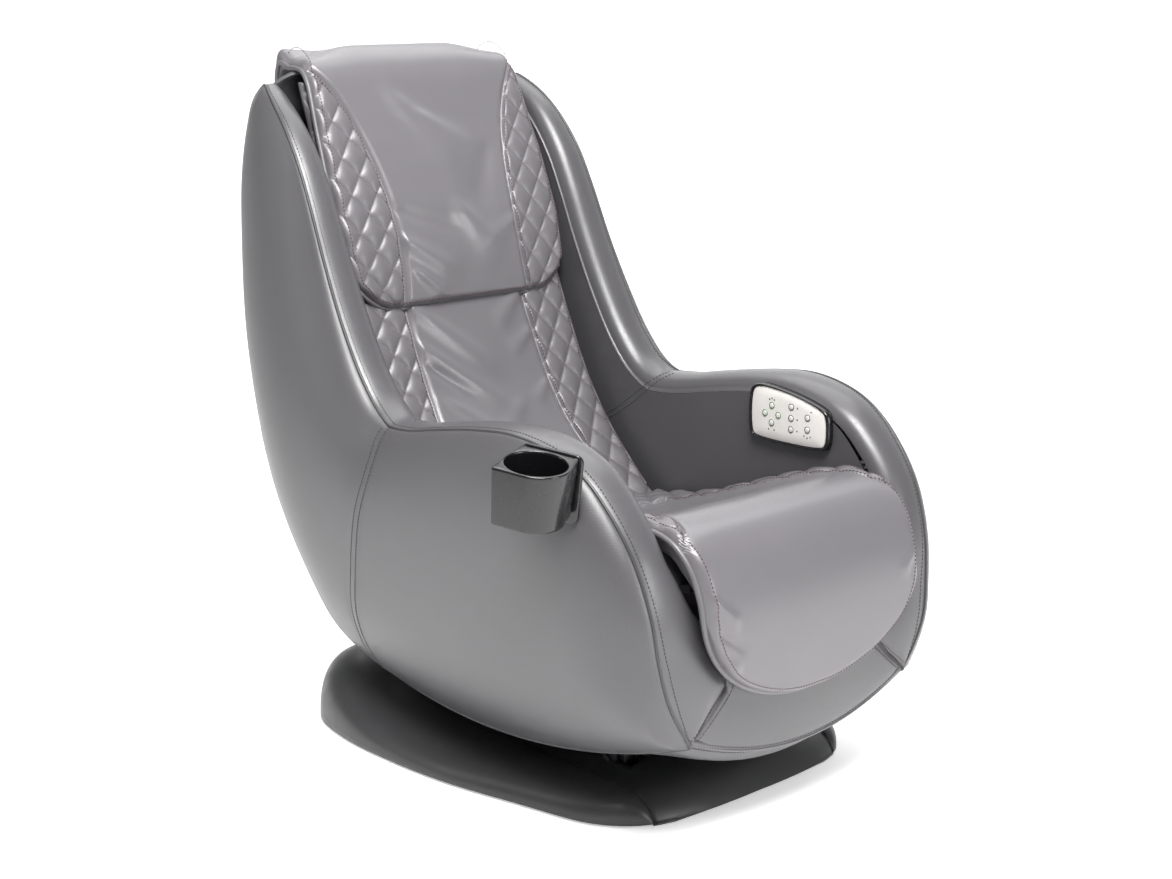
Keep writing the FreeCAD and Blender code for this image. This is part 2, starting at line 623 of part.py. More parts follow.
def make_unit():
    """The carriage, its two geared motors, shafts, arms and rollers."""
    plates = [unit_block("carriage_cheek_%d" % k, x, (-75, 82), (-26, 22)) for k, x in
              enumerate(((-146.5, -143.5), (143.5, 146.5)))]
    back = unit_block("carriage_back", (-146.5, 146.5), (-75, 82), (21.5, 24))
    bores = [unit_rod("carriage_bore_%d" % k, radius, (-160, 160), at, depth) for k, (radius, at, depth) in
             enumerate(((5.05, PINION_AT, PINION_BACK), (6.05, KNEAD_AT, KNEAD_BACK), (4.05, GUIDE_AT, GUIDE_BACK),
                        (4.05, -GUIDE_AT, GUIDE_BACK)))]
    keep("carriage_frame", cut("carriage_frame", fuse("carriage_folded", back, *plates), *bores))

    shaft = unit_rod("pinion_shaft_bar", 5.0, (-164, 164), PINION_AT, PINION_BACK)
    gears = [pinion("pinion_left", size["channel_inner"] - size["rack_width"] + 1),
             pinion("pinion_right", -size["channel_inner"] + 1)]
    keep("travel_pinion_shaft", fuse("travel_pinion_shaft", shaft, *gears))

    for label, at in (("upper", GUIDE_AT), ("lower", -GUIDE_AT)):
        parts = []
        for k, (a, b, c, d) in enumerate(((141, 187, 168, 185), (-187, -141, -185, -168))):
            parts.append(fuse("guide_%s_%d" % (label, k),
                              unit_rod("guide_pin_%s_%d" % (label, k), 4.0, (a, b), at, GUIDE_BACK),
                              unit_rod("guide_wheel_%s_%d" % (label, k), "sizes.guide_wheel_radius", (c, d), at,
                                       GUIDE_BACK)))
        keep("guide_wheels_" + label, *parts)

    bar = unit_rod("knead_bar", "sizes.knead_shaft_radius", (-142, 142), KNEAD_AT, KNEAD_BACK)
    hubs = [unit_rod("knead_hub_%d" % k, "sizes.knead_shaft_radius + 4", x, KNEAD_AT, KNEAD_BACK)
            for k, x in enumerate(((46, 64), (-64, -46)))]
    collars = [unit_rod("knead_collar_%d" % k, "sizes.knead_shaft_radius + 7", x, KNEAD_AT, KNEAD_BACK)
               for k, x in enumerate(((42, 46), (64, 68), (-46, -42), (-68, -64)))]
    keep("knead_shaft", fuse("knead_shaft", bar, *hubs, *collars))

    make_motor("travel_motor", (75, 115), (-50, -10), PINION_AT, PINION_BACK, 5.4, (-10.5, 52))
    make_motor("knead_motor", (-115, -75), (-8, 32), KNEAD_AT, KNEAD_BACK, 6.4, (31.5, 78))
    for label, side in (("left", 1), ("right", -1)):
        make_arm(label, side)


def make_motor(node, x, along, shaft_at, shaft_back, bore_radius, can):
    gearbox = unit_block(node + "_gearbox", x, along, (-30 if shaft_back < -10 else -18, 20.8))
    middle = (x[0] + x[1]) / 2
    body = doc.addObject("Part::Cylinder", node + "_can")
    body.Radius, body.Height = 14, can[1] - can[0]
    place_in_unit(body, middle, can[0], 6)
    bore = unit_rod(node + "_bore", bore_radius, (x[0] - 5, x[1] + 5), shaft_at, shaft_back)
    keep(node, cut(node, fuse(node + "_body", gearbox, body), bore))


def make_arm(label, side):
    """A two-ended lever on the kneading shaft with a roller at each end."""
    low_x = 55 - size["arm_thickness"] / 2
    ends = (("upper", KNEAD_AT + 52), ("lower", KNEAD_AT - 52))
    reach_back = KNEAD_BACK - 22
    low, high = low_x * side, (low_x + size["arm_thickness"]) * side
    x = (min(low, high), max(low, high))
    hub = unit_rod("arm_hub_" + label, "sizes.knead_shaft_radius + 11", x, KNEAD_AT, KNEAD_BACK)
    limbs, pins, sockets = [], [], []
    for end, at in ends:
        dy, dz = reach_back - KNEAD_BACK, at - KNEAD_AT
        length = math.hypot(dy, dz)
        limb = doc.addObject("Part::Box", "arm_limb_%s_%s" % (label, end))
        limb.Length, limb.Width, limb.Height = size["arm_thickness"], 14, length
        tilt = Rotation(Vector(0, 0, 1), Vector(0, dy, dz))
        limb.Placement = UNIT.multiply(Placement(Vector(x[0], KNEAD_BACK, KNEAD_AT), tilt)).multiply(
            Placement(Vector(0, -7, 0), Rotation()))
        limbs.append(limb)
        limbs.append(unit_rod("arm_end_%s_%s" % (label, end), 9, x, at, reach_back))
        inner = 49 - size["massage_roller_width"] - 2
        span = (inner, x[0] + 1) if side > 0 else (x[1] - 1, -inner)
        pins.append(unit_rod("arm_pin_%s_%s" % (label, end), 4.0, span, at, reach_back))
        roll_x = (inner + 1, 48.4) if side > 0 else (-48.4, -inner - 1)
        ball = unit_rod("roller_body_%s_%s" % (label, end), "sizes.massage_roller_radius", roll_x, at, reach_back)
        hole = unit_rod("roller_bore_%s_%s" % (label, end), 4.06, (-80, 80), at, reach_back)
        keep("massage_roller_%s_%s" % (end, label),
             cut("massage_roller_%s_%s" % (end, label), rounded(ball, 5.0), hole))
    bore = unit_rod("arm_bore_" + label, "sizes.knead_shaft_radius + 4.05", (x[0] - 5, x[1] + 5),
                    KNEAD_AT, KNEAD_BACK)
    keep("massage_arm_" + label, cut("massage_arm_" + label, fuse("arm_solid_" + label, hub, *limbs, *pins), bore))


def rounded(source, radius):
    """Rounds both rims of a cylinder."""
    fillet = doc.addObject("Part::Fillet", source.Name + "_rounded")
    fillet.Base = source
    fillet.Edges = [(1, radius, radius), (3, radius, radius)]
    return fillet


# ---------------------------------------------------------------- control panel on the left arm's inner face
PANEL_Y, PANEL_Z = -218.0, 491.0
PANEL_EDGE = [(-79, -33), (-79, 8), (-70, 21), (-20, 35), (30, 42), (66, 43), (79, 30), (79, -33), (66, -43),
              (-68, -43)]
KEYS = {"mode_up": (32.5, 12.3), "mode_back": (46.0, -1.0), "mode_forward": (19.5, -1.0),
        "mode_down": (32.5, -14.4), "program_first": (-6.0, 15.8), "program_second": (-6.0, -1.4),
        "program_third": (-6.0, -18.6), "timer": (-38.0, 4.0), "power": (-38.0, -14.0)}


def panel_prism(name, scale, start, length):
    edge = [(PANEL_Y + y * scale, PANEL_Z + z * scale) for y, z in PANEL_EDGE]
    return side_prism(name, [[a, b] for a, b in zip(edge, edge[1:] + edge[:1])], start, length)


def make_controls():
    pocket = panel_prism("panel_pocket", 1.0, "sizes.pad_gap_half - 8", "26")
    rim = panel_prism("bezel_rim", 0.995, "sizes.pad_gap_half - 5", "20")
    well = panel_prism("bezel_well", 0.93, "sizes.pad_gap_half - 6", "12")
    keep("control_bezel", cut("control_bezel", rim, well))

    plate = panel_prism("faceplate_blank", 0.925, "sizes.pad_gap_half - 3", "sizes.faceplate_thickness")
    holes = [rod("key_hole_" + key, "sizes.key_radius + 0.3", 20, (210, PANEL_Y + y, PANEL_Z + z))
             for key, (y, z) in KEYS.items()]
    keep("control_faceplate", cut("control_faceplate", plate, *holes))
    for key, (y, z) in KEYS.items():
        button = rod("key_" + key, "sizes.key_radius", "sizes.key_height",
                     (size["pad_gap_half"] - 4.2, PANEL_Y + y, PANEL_Z + z))
        keep("key_" + key, button)
    return pocket


# ---------------------------------------------------------------- cup holder on the right arm
CUP_TURN = Rotation(Vector(0, 0, 1), 24)
CUP_LEAN = CUP_TURN.multiply(Rotation(Vector(1, 0, 0), 8)).multiply(Rotation(Vector(0, 1, 0), -6))
CUP_BASE = Placement(Vector(-389, -324, 467), CUP_LEAN)


def in_cup(obj, x, y, z):
    obj.Placement = CUP_BASE.multiply(Placement(Vector(x, y, z), obj.Placement.Rotation))
    return obj


def cup_block(name, x, y, z):
    box = doc.addObject("Part::Box", name)
    box.Length, box.Width, box.Height = x[1] - x[0], y[1] - y[0], z[1] - z[0]
    return in_cup(box, x[0], y[0], z[0])


def make_cup_holder():
    wall = doc.addObject("Part::Cone", "cup_wall_cone")
    bind(wall, Radius1="sizes.cup_bore_radius + sizes.cup_wall - 1.5",
         Radius2="sizes.cup_bore_radius + sizes.cup_wall + 2", Height="sizes.cup_height")
    in_cup(wall, 0, 0, 0)
    heel = cup_block("cup_heel", (0, 47), (-36, 41), (0, 78))
    corner = cup_block("cup_corner", (-43, 2), (0, 41), (0, 78))
    hollow = doc.addObject("Part::Cylinder", "cup_hollow")
    bind(hollow, Radius="sizes.cup_bore_radius", Height="sizes.cup_depth + 10")
    in_cup(hollow, 0, 0, size["cup_height"] - size["cup_depth"])
    tongue = cup_block("cup_tongue_slot", (41.5, 48), (-14.5, 14.5), (-1, 62))
    keep("cup_holder", cut("cup_holder", fuse("cup_solid", wall, heel, corner), hollow, tongue))

    plate = cup_block("bracket_plate", (47.5, 53), (-43, 43), (-14, 80))
    hook = cup_block("bracket_hook", (43, 47.6), (-13, 13), (6, 61.5))
    keep("cup_holder_bracket", fuse("cup_holder_bracket", plate, hook))
    return cup_block("bracket_pocket", (38, 53), (-46, 46), (-17, 125))


# ---------------------------------------------------------------- build, check and write
def assemble():
    liner = make_wings()
    pocket = make_controls()
    keep("arm_liner_left", cut("arm_liner_left", liner, pocket))
    keep("arm_liner_right", mirrored("arm_liner_right", liner))
    make_centre_covers()
    make_pads()
    make_power()
    make_frames()
    make_base()
    make_track_rollers()
    make_track()
    make_unit()
    bracket_pocket = make_cup_holder()
    plain = nodes["side_panel_right"][0]
    keep("side_panel_right", cut("side_panel_right_cut", plain, bracket_pocket))
    doc.recompute()


def write_parts():
    faults = []
    for obj in doc.Objects:
        if "Invalid" in obj.State or "Error" in obj.State:
            faults.append("%s is %s" % (obj.Name, obj.State))
    for node, objects in nodes.items():
        shapes = [o.Shape for o in objects]
        solids = [s for shape in shapes for s in shape.Solids]
        if not solids or not all(shape.isValid() and not shape.isNull() for shape in shapes):
            faults.append(node + " has no valid solid")
    if faults:
        raise SystemExit("\n".join(faults))
    for node, objects in nodes.items():
        solids = [s for o in objects for s in o.Shape.Solids]
        shape = solids[0] if len(solids) == 1 else Part.makeCompound(solids)
        shape.exportStep("parts/%s.step" % node)
    print(len(nodes), "pieces written")


assemble()
write_parts()
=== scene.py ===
"""Looks for the massage chair: upholstery, covers, controls and studio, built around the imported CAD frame.

Lengths are metres, +Z is up, the sitter faces -Y, and +X is the sitter's left. Points typed in as outlines
are millimetres and pass through mm(). A side-view point is (y, z); a point on the outline is (x, y, z).
"""
import bpy
import bmesh
import json
import math
import numpy as np
from mathutils import Matrix, Vector


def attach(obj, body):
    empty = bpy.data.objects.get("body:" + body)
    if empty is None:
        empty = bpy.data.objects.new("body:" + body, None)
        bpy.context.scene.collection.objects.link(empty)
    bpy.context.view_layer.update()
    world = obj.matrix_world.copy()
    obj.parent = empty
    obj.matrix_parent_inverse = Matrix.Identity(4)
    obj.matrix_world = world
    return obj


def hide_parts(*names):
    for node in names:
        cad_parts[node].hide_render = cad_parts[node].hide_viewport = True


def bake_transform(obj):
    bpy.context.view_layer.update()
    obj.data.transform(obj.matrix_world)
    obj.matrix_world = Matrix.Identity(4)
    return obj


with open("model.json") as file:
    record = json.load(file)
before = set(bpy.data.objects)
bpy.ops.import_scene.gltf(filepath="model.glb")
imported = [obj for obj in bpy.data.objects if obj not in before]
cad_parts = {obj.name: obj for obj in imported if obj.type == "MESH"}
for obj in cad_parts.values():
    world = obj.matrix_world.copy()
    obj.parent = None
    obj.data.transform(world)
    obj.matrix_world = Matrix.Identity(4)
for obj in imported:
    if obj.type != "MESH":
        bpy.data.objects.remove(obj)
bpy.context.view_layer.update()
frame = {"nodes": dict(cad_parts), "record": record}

SIDES = (("left", 1), ("right", -1))


# ------------------------------------------------------------------ curves and small maths
def mm(points):
    return np.array(points, float) / 1000.0


def smoothstep(low, high, value):
    t = np.clip((value - low) / (high - low), 0, 1)
    return t * t * (3 - 2 * t)


def unit(vectors):
    return vectors / np.linalg.norm(vectors, axis=-1)[..., None]


def arc_lengths(path):
    steps = np.linalg.norm(np.diff(path, axis=0), axis=1)
    return np.concatenate([[0], np.cumsum(steps)])


def resample(path, fractions):
    """The points at those fractions of a dense path's length."""
    along = arc_lengths(path)
    wanted = np.asarray(fractions) * along[-1]
    return np.stack([np.interp(wanted, along, path[:, k]) for k in range(path.shape[1])], axis=1)


def spline(points, steps=24):
    """A dense, smooth curve through the points, without overshoot between close ones."""
    p = np.asarray(points, float)
    t = np.concatenate([[0], np.cumsum(np.linalg.norm(np.diff(p, axis=0), axis=1) ** 0.7)])
    slope = np.gradient(p, t, axis=0, edge_order=2 if len(p) > 2 else 1)
    dense = []
    for k in range(len(p) - 1):
        span = t[k + 1] - t[k]
        for u in np.linspace(0, 1, steps, endpoint=False):
            a, b = 2 * u ** 3 - 3 * u ** 2 + 1, u ** 3 - 2 * u ** 2 + u
            c, d = -2 * u ** 3 + 3 * u ** 2, u ** 3 - u ** 2
            dense.append(a * p[k] + b * span * slope[k] + c * p[k + 1] + d * span * slope[k + 1])
    dense.append(p[-1])
    return np.array(dense)


def spline_of(points):
    """A function that reads a smooth curve through (x, y) points in millimetres."""
    line = spline(mm(points))
    return lambda x: np.interp(x, line[:, 0], line[:, 1])


def left_of(line):
    """Unit normals on the left of a 2D line."""
    tangent = unit(np.gradient(line, axis=0))
    return np.stack([-tangent[:, 1], tangent[:, 0]], axis=1)


def even(count):
    return np.linspace(0, 1, count)


def tight_both(count):
    """Fractions that crowd towards both ends."""
    return (1 - np.cos(np.pi * even(count))) / 2


def tight_end(count):
    """Fractions that crowd towards the end."""
    return np.sin(np.pi / 2 * even(count))


def coons(bottom, top, left, right, u, v):
    """Fills four meeting edges with a grid; u and v are the fractions that the edges were sampled at."""
    u, v = u[:, None, None], v[None, :, None]
    ruled = (1 - v) * bottom[:, None] + v * top[:, None] + (1 - u) * left[None] + u * right[None]
    corners = ((1 - u) * (1 - v) * bottom[0] + u * (1 - v) * bottom[-1]
               + (1 - u) * v * top[0] + u * v * top[-1])
    return ruled - corners


# ------------------------------------------------------------------ meshes
def new_object(name, vertices, faces, material, smooth=True):
    mesh = bpy.data.meshes.new(name)
    mesh.from_pydata([tuple(v) for v in vertices], [], [tuple(f) for f in faces])
    mesh.validate()
    if smooth:
        mesh.shade_smooth()
    obj = bpy.data.objects.new(name, mesh)
    bpy.context.scene.collection.objects.link(obj)
    mesh.materials.append(material)
    return obj


def grid_faces(rows, columns, start=0, flip=False, wrap=False):
    faces = []
    for i in range(rows - 1):
        for j in range(columns if wrap else columns - 1):
            a, b = start + i * columns + j, start + i * columns + (j + 1) % columns
            quad = (a, b, b + columns, a + columns)
            faces.append(quad[::-1] if flip else quad)
    return faces


def tidy_mesh(obj, distance=1e-5, outward=True):
    """Welds doubled points, drops slivers and turns the faces outwards."""
    bm = bmesh.new()
    bm.from_mesh(obj.data)
    bmesh.ops.remove_doubles(bm, verts=bm.verts, dist=distance)
    bmesh.ops.dissolve_degenerate(bm, dist=distance * 0.5, edges=bm.edges)
    if outward:
        bmesh.ops.recalc_face_normals(bm, faces=bm.faces)
    bm.to_mesh(obj.data)
    bm.free()
    return obj


class Patchwork:
    """Gathers grids of points, and the faces between them, for one mesh."""

    def __init__(self):
        self.points, self.faces, self.count = [], [], 0

    def add(self, grid, flip=False, wrap=False):
        self.faces += grid_faces(grid.shape[0], grid.shape[1], self.count, flip, wrap)
        self.points.append(grid.reshape(-1, 3))
        self.count += len(self.points[-1])

    def mesh(self, name, material, weld):
        return tidy_mesh(new_object(name, np.concatenate(self.points), self.faces, material), weld)


def double_skin(name, outer, inner, flip, material):
    """Two grids of one size, joined round their rims."""
    patch = Patchwork()
    patch.add(outer, flip)
    patch.add(inner, not flip)
    rows, columns = outer.shape[:2]
    index = np.arange(rows * columns).reshape(rows, columns)
    ring = [*index[0], *index[1:, -1], *index[-1, -2::-1], *index[-2:0:-1, 0]]
    for a, b in zip(ring, ring[1:] + ring[:1]):
        patch.faces.append((a, b, b + rows * columns, a + rows * columns))
    return patch.mesh(name, material, 2e-5)


def points_of(obj):
    return np.array([v.co for v in obj.data.vertices])


def move_points(obj, points):
    obj.data.vertices.foreach_set("co", points.ravel())
    obj.data.update()


def mirror_object(obj):
    obj.data.transform(Matrix.Scale(-1, 4, (1, 0, 0)))
    obj.data.flip_normals()


def belongs(obj, body, slot, *nodes, fill=None):
    """Ties a piece to its body and hides the CAD nodes it stands for. The slot and fill arguments are not
    used.
    """
    if body:
        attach(obj, body)
    if nodes:
        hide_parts(*nodes)
    return obj


def mirror_x(points):
    flipped = np.array(points, float)
    flipped[..., 0] *= -1
    return flipped


def sweep(name, path, profile, material, closed=False):
    """A tube along a 3D path. profile lists its (side, out) offsets; its frame is carried without twist."""
    path = np.asarray(path, float)
    around = np.roll(path, -1, axis=0) - np.roll(path, 1, axis=0)
    tangent = unit(around if closed else np.gradient(path, axis=0))
    out = np.cross(tangent[0], [0.31, 0.52, 0.79])
    outs = []
    for t in tangent:
        out = out - t * np.dot(out, t)
        out = out / np.linalg.norm(out)
        outs.append(out)
    outs = np.array(outs)
    side = np.cross(tangent, outs)
    rings = [path + side * s + outs * o for s, o in profile]
    points = np.stack(rings, axis=1)
    rows, columns = points.shape[:2]
    faces = grid_faces(rows, columns, wrap=True)
    if closed:
        turn = int(np.argmin(np.linalg.norm(points[0] - points[-1, 0], axis=1)))
        last = (rows - 1) * columns
        for k in range(columns):
            a, b = (k + turn) % columns, (k + 1 + turn) % columns
            faces.append((last + k, last + (k + 1) % columns, b, a))
    else:
        faces.append(tuple(range(columns))[::-1])
        faces.append(tuple(range((rows - 1) * columns, rows * columns)))
    return tidy_mesh(new_object(name, points.reshape(-1, 3), faces, material))


def round_profile(radius, sides=10):
    angles = np.linspace(0, 2 * np.pi, sides, endpoint=False)
    return [(radius * math.cos(a), radius * math.sin(a)) for a in angles]


# each ring of a stitch: its place along the stitch, and its width and lift in thread radii
STITCH_RINGS = [(0.0, 0.35, -1.0), (0.16, 0.9, 0.35), (0.5, 1.0, 0.75), (0.84, 0.9, 0.35), (1.0, 0.35, -1.0)]


class Stitching:
    """Collects rows of thread and makes one mesh of them for each body."""

    def __init__(self):
        self.rows = {}

    def add(self, group, path, normals, stitch=0.0042, gap=0.0014, radius=0.0007, sink=0.0):
        path, normals = np.asarray(path, float), np.asarray(normals, float)
        along = arc_lengths(path)
        count = int(along[-1] / (stitch + gap))
        if count < 1:
            return
        starts = (np.arange(count) + 0.15) * (along[-1] / count)
        ends = starts + stitch
        pick = lambda values, at: np.stack([np.interp(at, along, values[:, k]) for k in range(3)], axis=1)
        up = unit(pick(normals, (starts + ends) / 2))
        a, b = pick(path, starts), pick(path, ends)
        self.rows.setdefault(group, []).append((a, b, up, radius, sink))

    def build(self, group, name, body, material):
        """Each stitch is a short arched capsule of five rings."""
        vertices, faces = [], []
        for a, b, up, radius, sink in self.rows.pop(group, []):
            direction = b - a
            length = np.linalg.norm(direction, axis=1)
            keep = length > 1e-5
            a, direction, up, length = a[keep], direction[keep], up[keep], length[keep]
            tangent = direction / length[:, None]
            side = unit(np.cross(tangent, up))
            out = np.cross(side, tangent)
            for t, width, lift in STITCH_RINGS:
                centre = a + direction * t + out * (radius * lift - sink)
                for angle in (0, 1.047, 2.094, 3.1416, 4.189, 5.236):
                    vertices.append(centre + side * radius * width * math.cos(angle)
                                    + out * radius * width * math.sin(angle))
            total, block = len(a), 30
            base = sum(len(v) for v in vertices[:-block])
            stacked = [base + k * total for k in range(block)]
            for ring in range(4):
                for k in range(6):
                    p, q = ring * 6 + k, ring * 6 + (k + 1) % 6
                    quads = zip(*(range(stacked[x], stacked[x] + total) for x in (p, q, q + 6, p + 6)))
                    faces.extend(quads)
            for ring, order in ((0, -1), (4, 1)):
                caps = zip(*(range(stacked[ring * 6 + k], stacked[ring * 6 + k] + total) for k in range(6)))
                faces.extend(c[::order] for c in caps)
        if not vertices:
            return None
        obj = new_object(name, np.concatenate(vertices), faces, material)
        if body:
            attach(obj, body)
        return obj


stitching = Stitching()


# ------------------------------------------------------------------ materials
class Shader:
    """A principled material with a few procedural helpers."""

    def __init__(self, name, color, roughness, metallic=0.0, **sockets):
        self.material = bpy.data.materials.new(name)
        self.material.use_nodes = True
        self.tree = self.material.node_tree
        self.bsdf = self.tree.nodes["Principled BSDF"]
        self.bsdf.inputs["Base Color"].default_value = (*color, 1)
        self.bsdf.inputs["Roughness"].default_value = roughness
        self.bsdf.inputs["Metallic"].default_value = metallic
        for socket, value in sockets.items():
            self.bsdf.inputs[socket.replace("_", " ")].default_value = value
        self.place = self.node("ShaderNodeTexCoord").outputs["Object"]
        self.normal = None

    def node(self, kind, **inputs):
        node = self.tree.nodes.new(kind)
        for key, value in inputs.items():
            self.plug(value, node.inputs[key.replace("_", " ")])
        return node

    def plug(self, value, socket):
        if isinstance(value, bpy.types.NodeSocket):
            self.tree.links.new(value, socket)
        else:
            socket.default_value = value

    def math(self, operation, a, b=0.0):
        node = self.tree.nodes.new("ShaderNodeMath")
        node.operation = operation
        self.plug(a, node.inputs[0])
        self.plug(b, node.inputs[1])
        return node.outputs[0]

    def noise(self, scale, detail=3.0, roughness=0.55):
        return self.node("ShaderNodeTexNoise", Vector=self.place, Scale=scale, Detail=detail,
                         Roughness=roughness).outputs["Fac"]

    def cells(self, scale, feature="F1"):
        node = self.node("ShaderNodeTexVoronoi", Vector=self.place, Scale=scale)
        node.feature = feature
        return node.outputs["Distance"]

    def remap(self, value, low, high, to_low, to_high):
        node = self.node("ShaderNodeMapRange", Value=value)
        for key, number in (("From Min", low), ("From Max", high), ("To Min", to_low), ("To Max", to_high)):
            node.inputs[key].default_value = number
        return node.outputs[0]

    def bump(self, height, strength, distance):
        node = self.node("ShaderNodeBump", Height=height, Strength=strength, Distance=distance)
        if self.normal is not None:
            self.plug(self.normal, node.inputs["Normal"])
        self.normal = node.outputs[0]
        self.plug(self.normal, self.bsdf.inputs["Normal"])

    def vary_color(self, factor, dark, light):
        ramp = self.tree.nodes.new("ShaderNodeValToRGB")
        ramp.color_ramp.elements[0].color = (*dark, 1)
        ramp.color_ramp.elements[1].color = (*light, 1)
        self.plug(factor, ramp.inputs[0])
        self.plug(ramp.outputs[0], self.bsdf.inputs["Base Color"])

    def vary_roughness(self, factor, low, high):
        self.plug(self.remap(factor, 0.3, 0.7, low, high), self.bsdf.inputs["Roughness"])


def tint(color, factor):
    return tuple(c * factor for c in color)


LEATHER_GREY = (0.068, 0.066, 0.071)


def leather(name, color=LEATHER_GREY, roughness=0.36, grain=1.0):
    """Smooth coated leather: fine pebble grain, faint broad tone changes and a soft sheen."""
    s = Shader(name, color, roughness, Specular_IOR_Level=0.62, Coat_Weight=0.16, Coat_Roughness=0.28)
    s.vary_color(s.noise(9.0, 4.0), tint(color, 0.93), tint(color, 1.07))
    s.vary_roughness(s.noise(260.0, 2.0), roughness - 0.05, roughness + 0.07)
    s.bump(s.cells(760.0), 0.10 * grain, 0.0004)
    s.bump(s.noise(95.0, 3.0), 0.10 * grain, 0.0006)
    return s.material


WEAVE_STEP = 0.0034


def weave_leather(name):
    """The outer panels: coated leather pressed with a fine diagonal basket weave."""
    s = Shader(name, LEATHER_GREY, 0.36, Specular_IOR_Level=0.62, Coat_Weight=0.18, Coat_Roughness=0.28)
    axes = s.node("ShaderNodeSeparateXYZ", Vector=s.place)
    y, z = axes.outputs["Y"], axes.outputs["Z"]
    pitch = 2 * math.pi / WEAVE_STEP
    rising = s.math("SINE", s.math("MULTIPLY", s.math("ADD", y, z), pitch))
    falling = s.math("SINE", s.math("MULTIPLY", s.math("SUBTRACT", y, z), pitch))
    weave = s.math("MULTIPLY", rising, falling)
    s.vary_color(s.noise(7.0, 4.0), tint(LEATHER_GREY, 0.93), tint(LEATHER_GREY, 1.06))
    s.plug(s.remap(weave, -1, 1, 0.31, 0.44), s.bsdf.inputs["Roughness"])
    s.bump(weave, 0.30, 0.00035)
    s.bump(s.noise(120.0, 3.0), 0.08, 0.0005)
    return s.material


def moulded(name, color, roughness, texture=0.12, scale=900.0, coat=0.0):
    """Injection-moulded plastic with a spark-eroded texture."""
    s = Shader(name, color, roughness, Coat_Weight=coat, Coat_Roughness=0.08)
    s.vary_color(s.noise(14.0, 3.0), tint(color, 0.92), tint(color, 1.10))
    s.vary_roughness(s.noise(60.0, 4.0), roughness - 0.04, roughness + 0.06)
    s.bump(s.noise(scale, 2.0), texture, 0.0003)
    return s.material


def metal(name, color, roughness, brushed=0.0, painted=False):
    s = Shader(name, color, roughness, 0.0 if painted else 1.0)
    s.vary_color(s.noise(30.0, 4.0), tint(color, 0.88), tint(color, 1.08))
    s.vary_roughness(s.noise(180.0, 3.0), roughness - 0.06, roughness + 0.08)
    if brushed:
        stretched = s.node("ShaderNodeMapping", Vector=s.place, Scale=(6.0, 900.0, 900.0))
        lines = s.node("ShaderNodeTexNoise", Vector=stretched.outputs[0], Scale=1.0, Detail=2.0)
        s.bump(lines.outputs["Fac"], brushed, 0.0002)
    else:
        s.bump(s.noise(420.0, 2.0), 0.10, 0.0002)
    return s.material


def plywood(name):
    s = Shader(name, (0.45, 0.30, 0.16), 0.62)
    grain = s.node("ShaderNodeMapping", Vector=s.place, Scale=(40.0, 3.0, 60.0))
    rings = s.node("ShaderNodeTexNoise", Vector=grain.outputs[0], Scale=1.0, Detail=6.0)
    s.vary_color(rings.outputs["Fac"], (0.34, 0.21, 0.10), (0.60, 0.43, 0.25))
    s.bump(rings.outputs["Fac"], 0.25, 0.0006)
    return s.material


def thread(name, color):
    s = Shader(name, color, 0.62, Sheen_Weight=0.3)
    s.vary_color(s.noise(500.0, 2.0), tint(color, 0.8), tint(color, 1.2))
    s.bump(s.noise(2500.0, 1.0), 0.3, 0.0002)
    return s.material


SMOOTH = leather("leather_smooth")
WEAVE = weave_leather("leather_weave")
PADS = leather("leather_pads", (0.120, 0.115, 0.124), 0.33, 0.8)
QUILT = leather("leather_quilt", (0.104, 0.099, 0.107), 0.40, 1.1)
PIPING = leather("leather_piping", (0.105, 0.100, 0.108), 0.42, 0.8)
EDGE_PIPING = leather("leather_edge_piping", (0.030, 0.029, 0.031), 0.45, 0.8)
BASE_PLASTIC = moulded("base_plastic", (0.030, 0.030, 0.032), 0.38, 0.16)
SHELL_PLASTIC = moulded("shell_plastic", (0.018, 0.018, 0.019), 0.55, 0.3, 500.0)
GLOSS_BLACK = moulded("gloss_black", (0.006, 0.006, 0.007), 0.24, 0.02, 200.0, 0.15)
FACEPLATE = moulded("faceplate_film", (0.76, 0.74, 0.71), 0.34, 0.03, 400.0, 0.2)
KEY_GREY = moulded("key_grey", (0.11, 0.10, 0.095), 0.38, 0.03, 400.0, 0.3)
KEY_WHITE = moulded("key_white", (0.66, 0.67, 0.66), 0.30, 0.03, 400.0, 0.3)
KEY_GREEN = moulded("key_green", (0.11, 0.22, 0.05), 0.34, 0.03, 400.0, 0.3)
LAMP = moulded("indicator_lamp", (0.008, 0.009, 0.008), 0.2, 0.02, 300.0, 0.5)
RUBBER = moulded("rubber", (0.012, 0.012, 0.012), 0.75, 0.4, 380.0)
BLACK_STEEL = metal("black_steel", (0.016, 0.016, 0.018), 0.45, painted=True)
BRIGHT_STEEL = metal("bright_steel", (0.58, 0.58, 0.60), 0.28, 0.25)
ZINC = metal("zinc_sheet", (0.50, 0.51, 0.53), 0.42, 0.12)
NYLON = moulded("nylon", (0.68, 0.66, 0.60), 0.42, 0.1, 600.0)
DARK_NYLON = moulded("dark_nylon", (0.014, 0.014, 0.015), 0.5, 0.1, 600.0)
MOTOR = metal("motor_can", (0.10, 0.10, 0.11), 0.38, 0.1)
AIRBAG = moulded("airbag_film", (0.012, 0.018, 0.035), 0.35, 0.5, 140.0)
WOOD = plywood("plywood")
THREAD_RED = thread("thread_plum", (0.055, 0.019, 0.024))
THREAD_DARK = thread("thread_grey", (0.018, 0.017, 0.019))

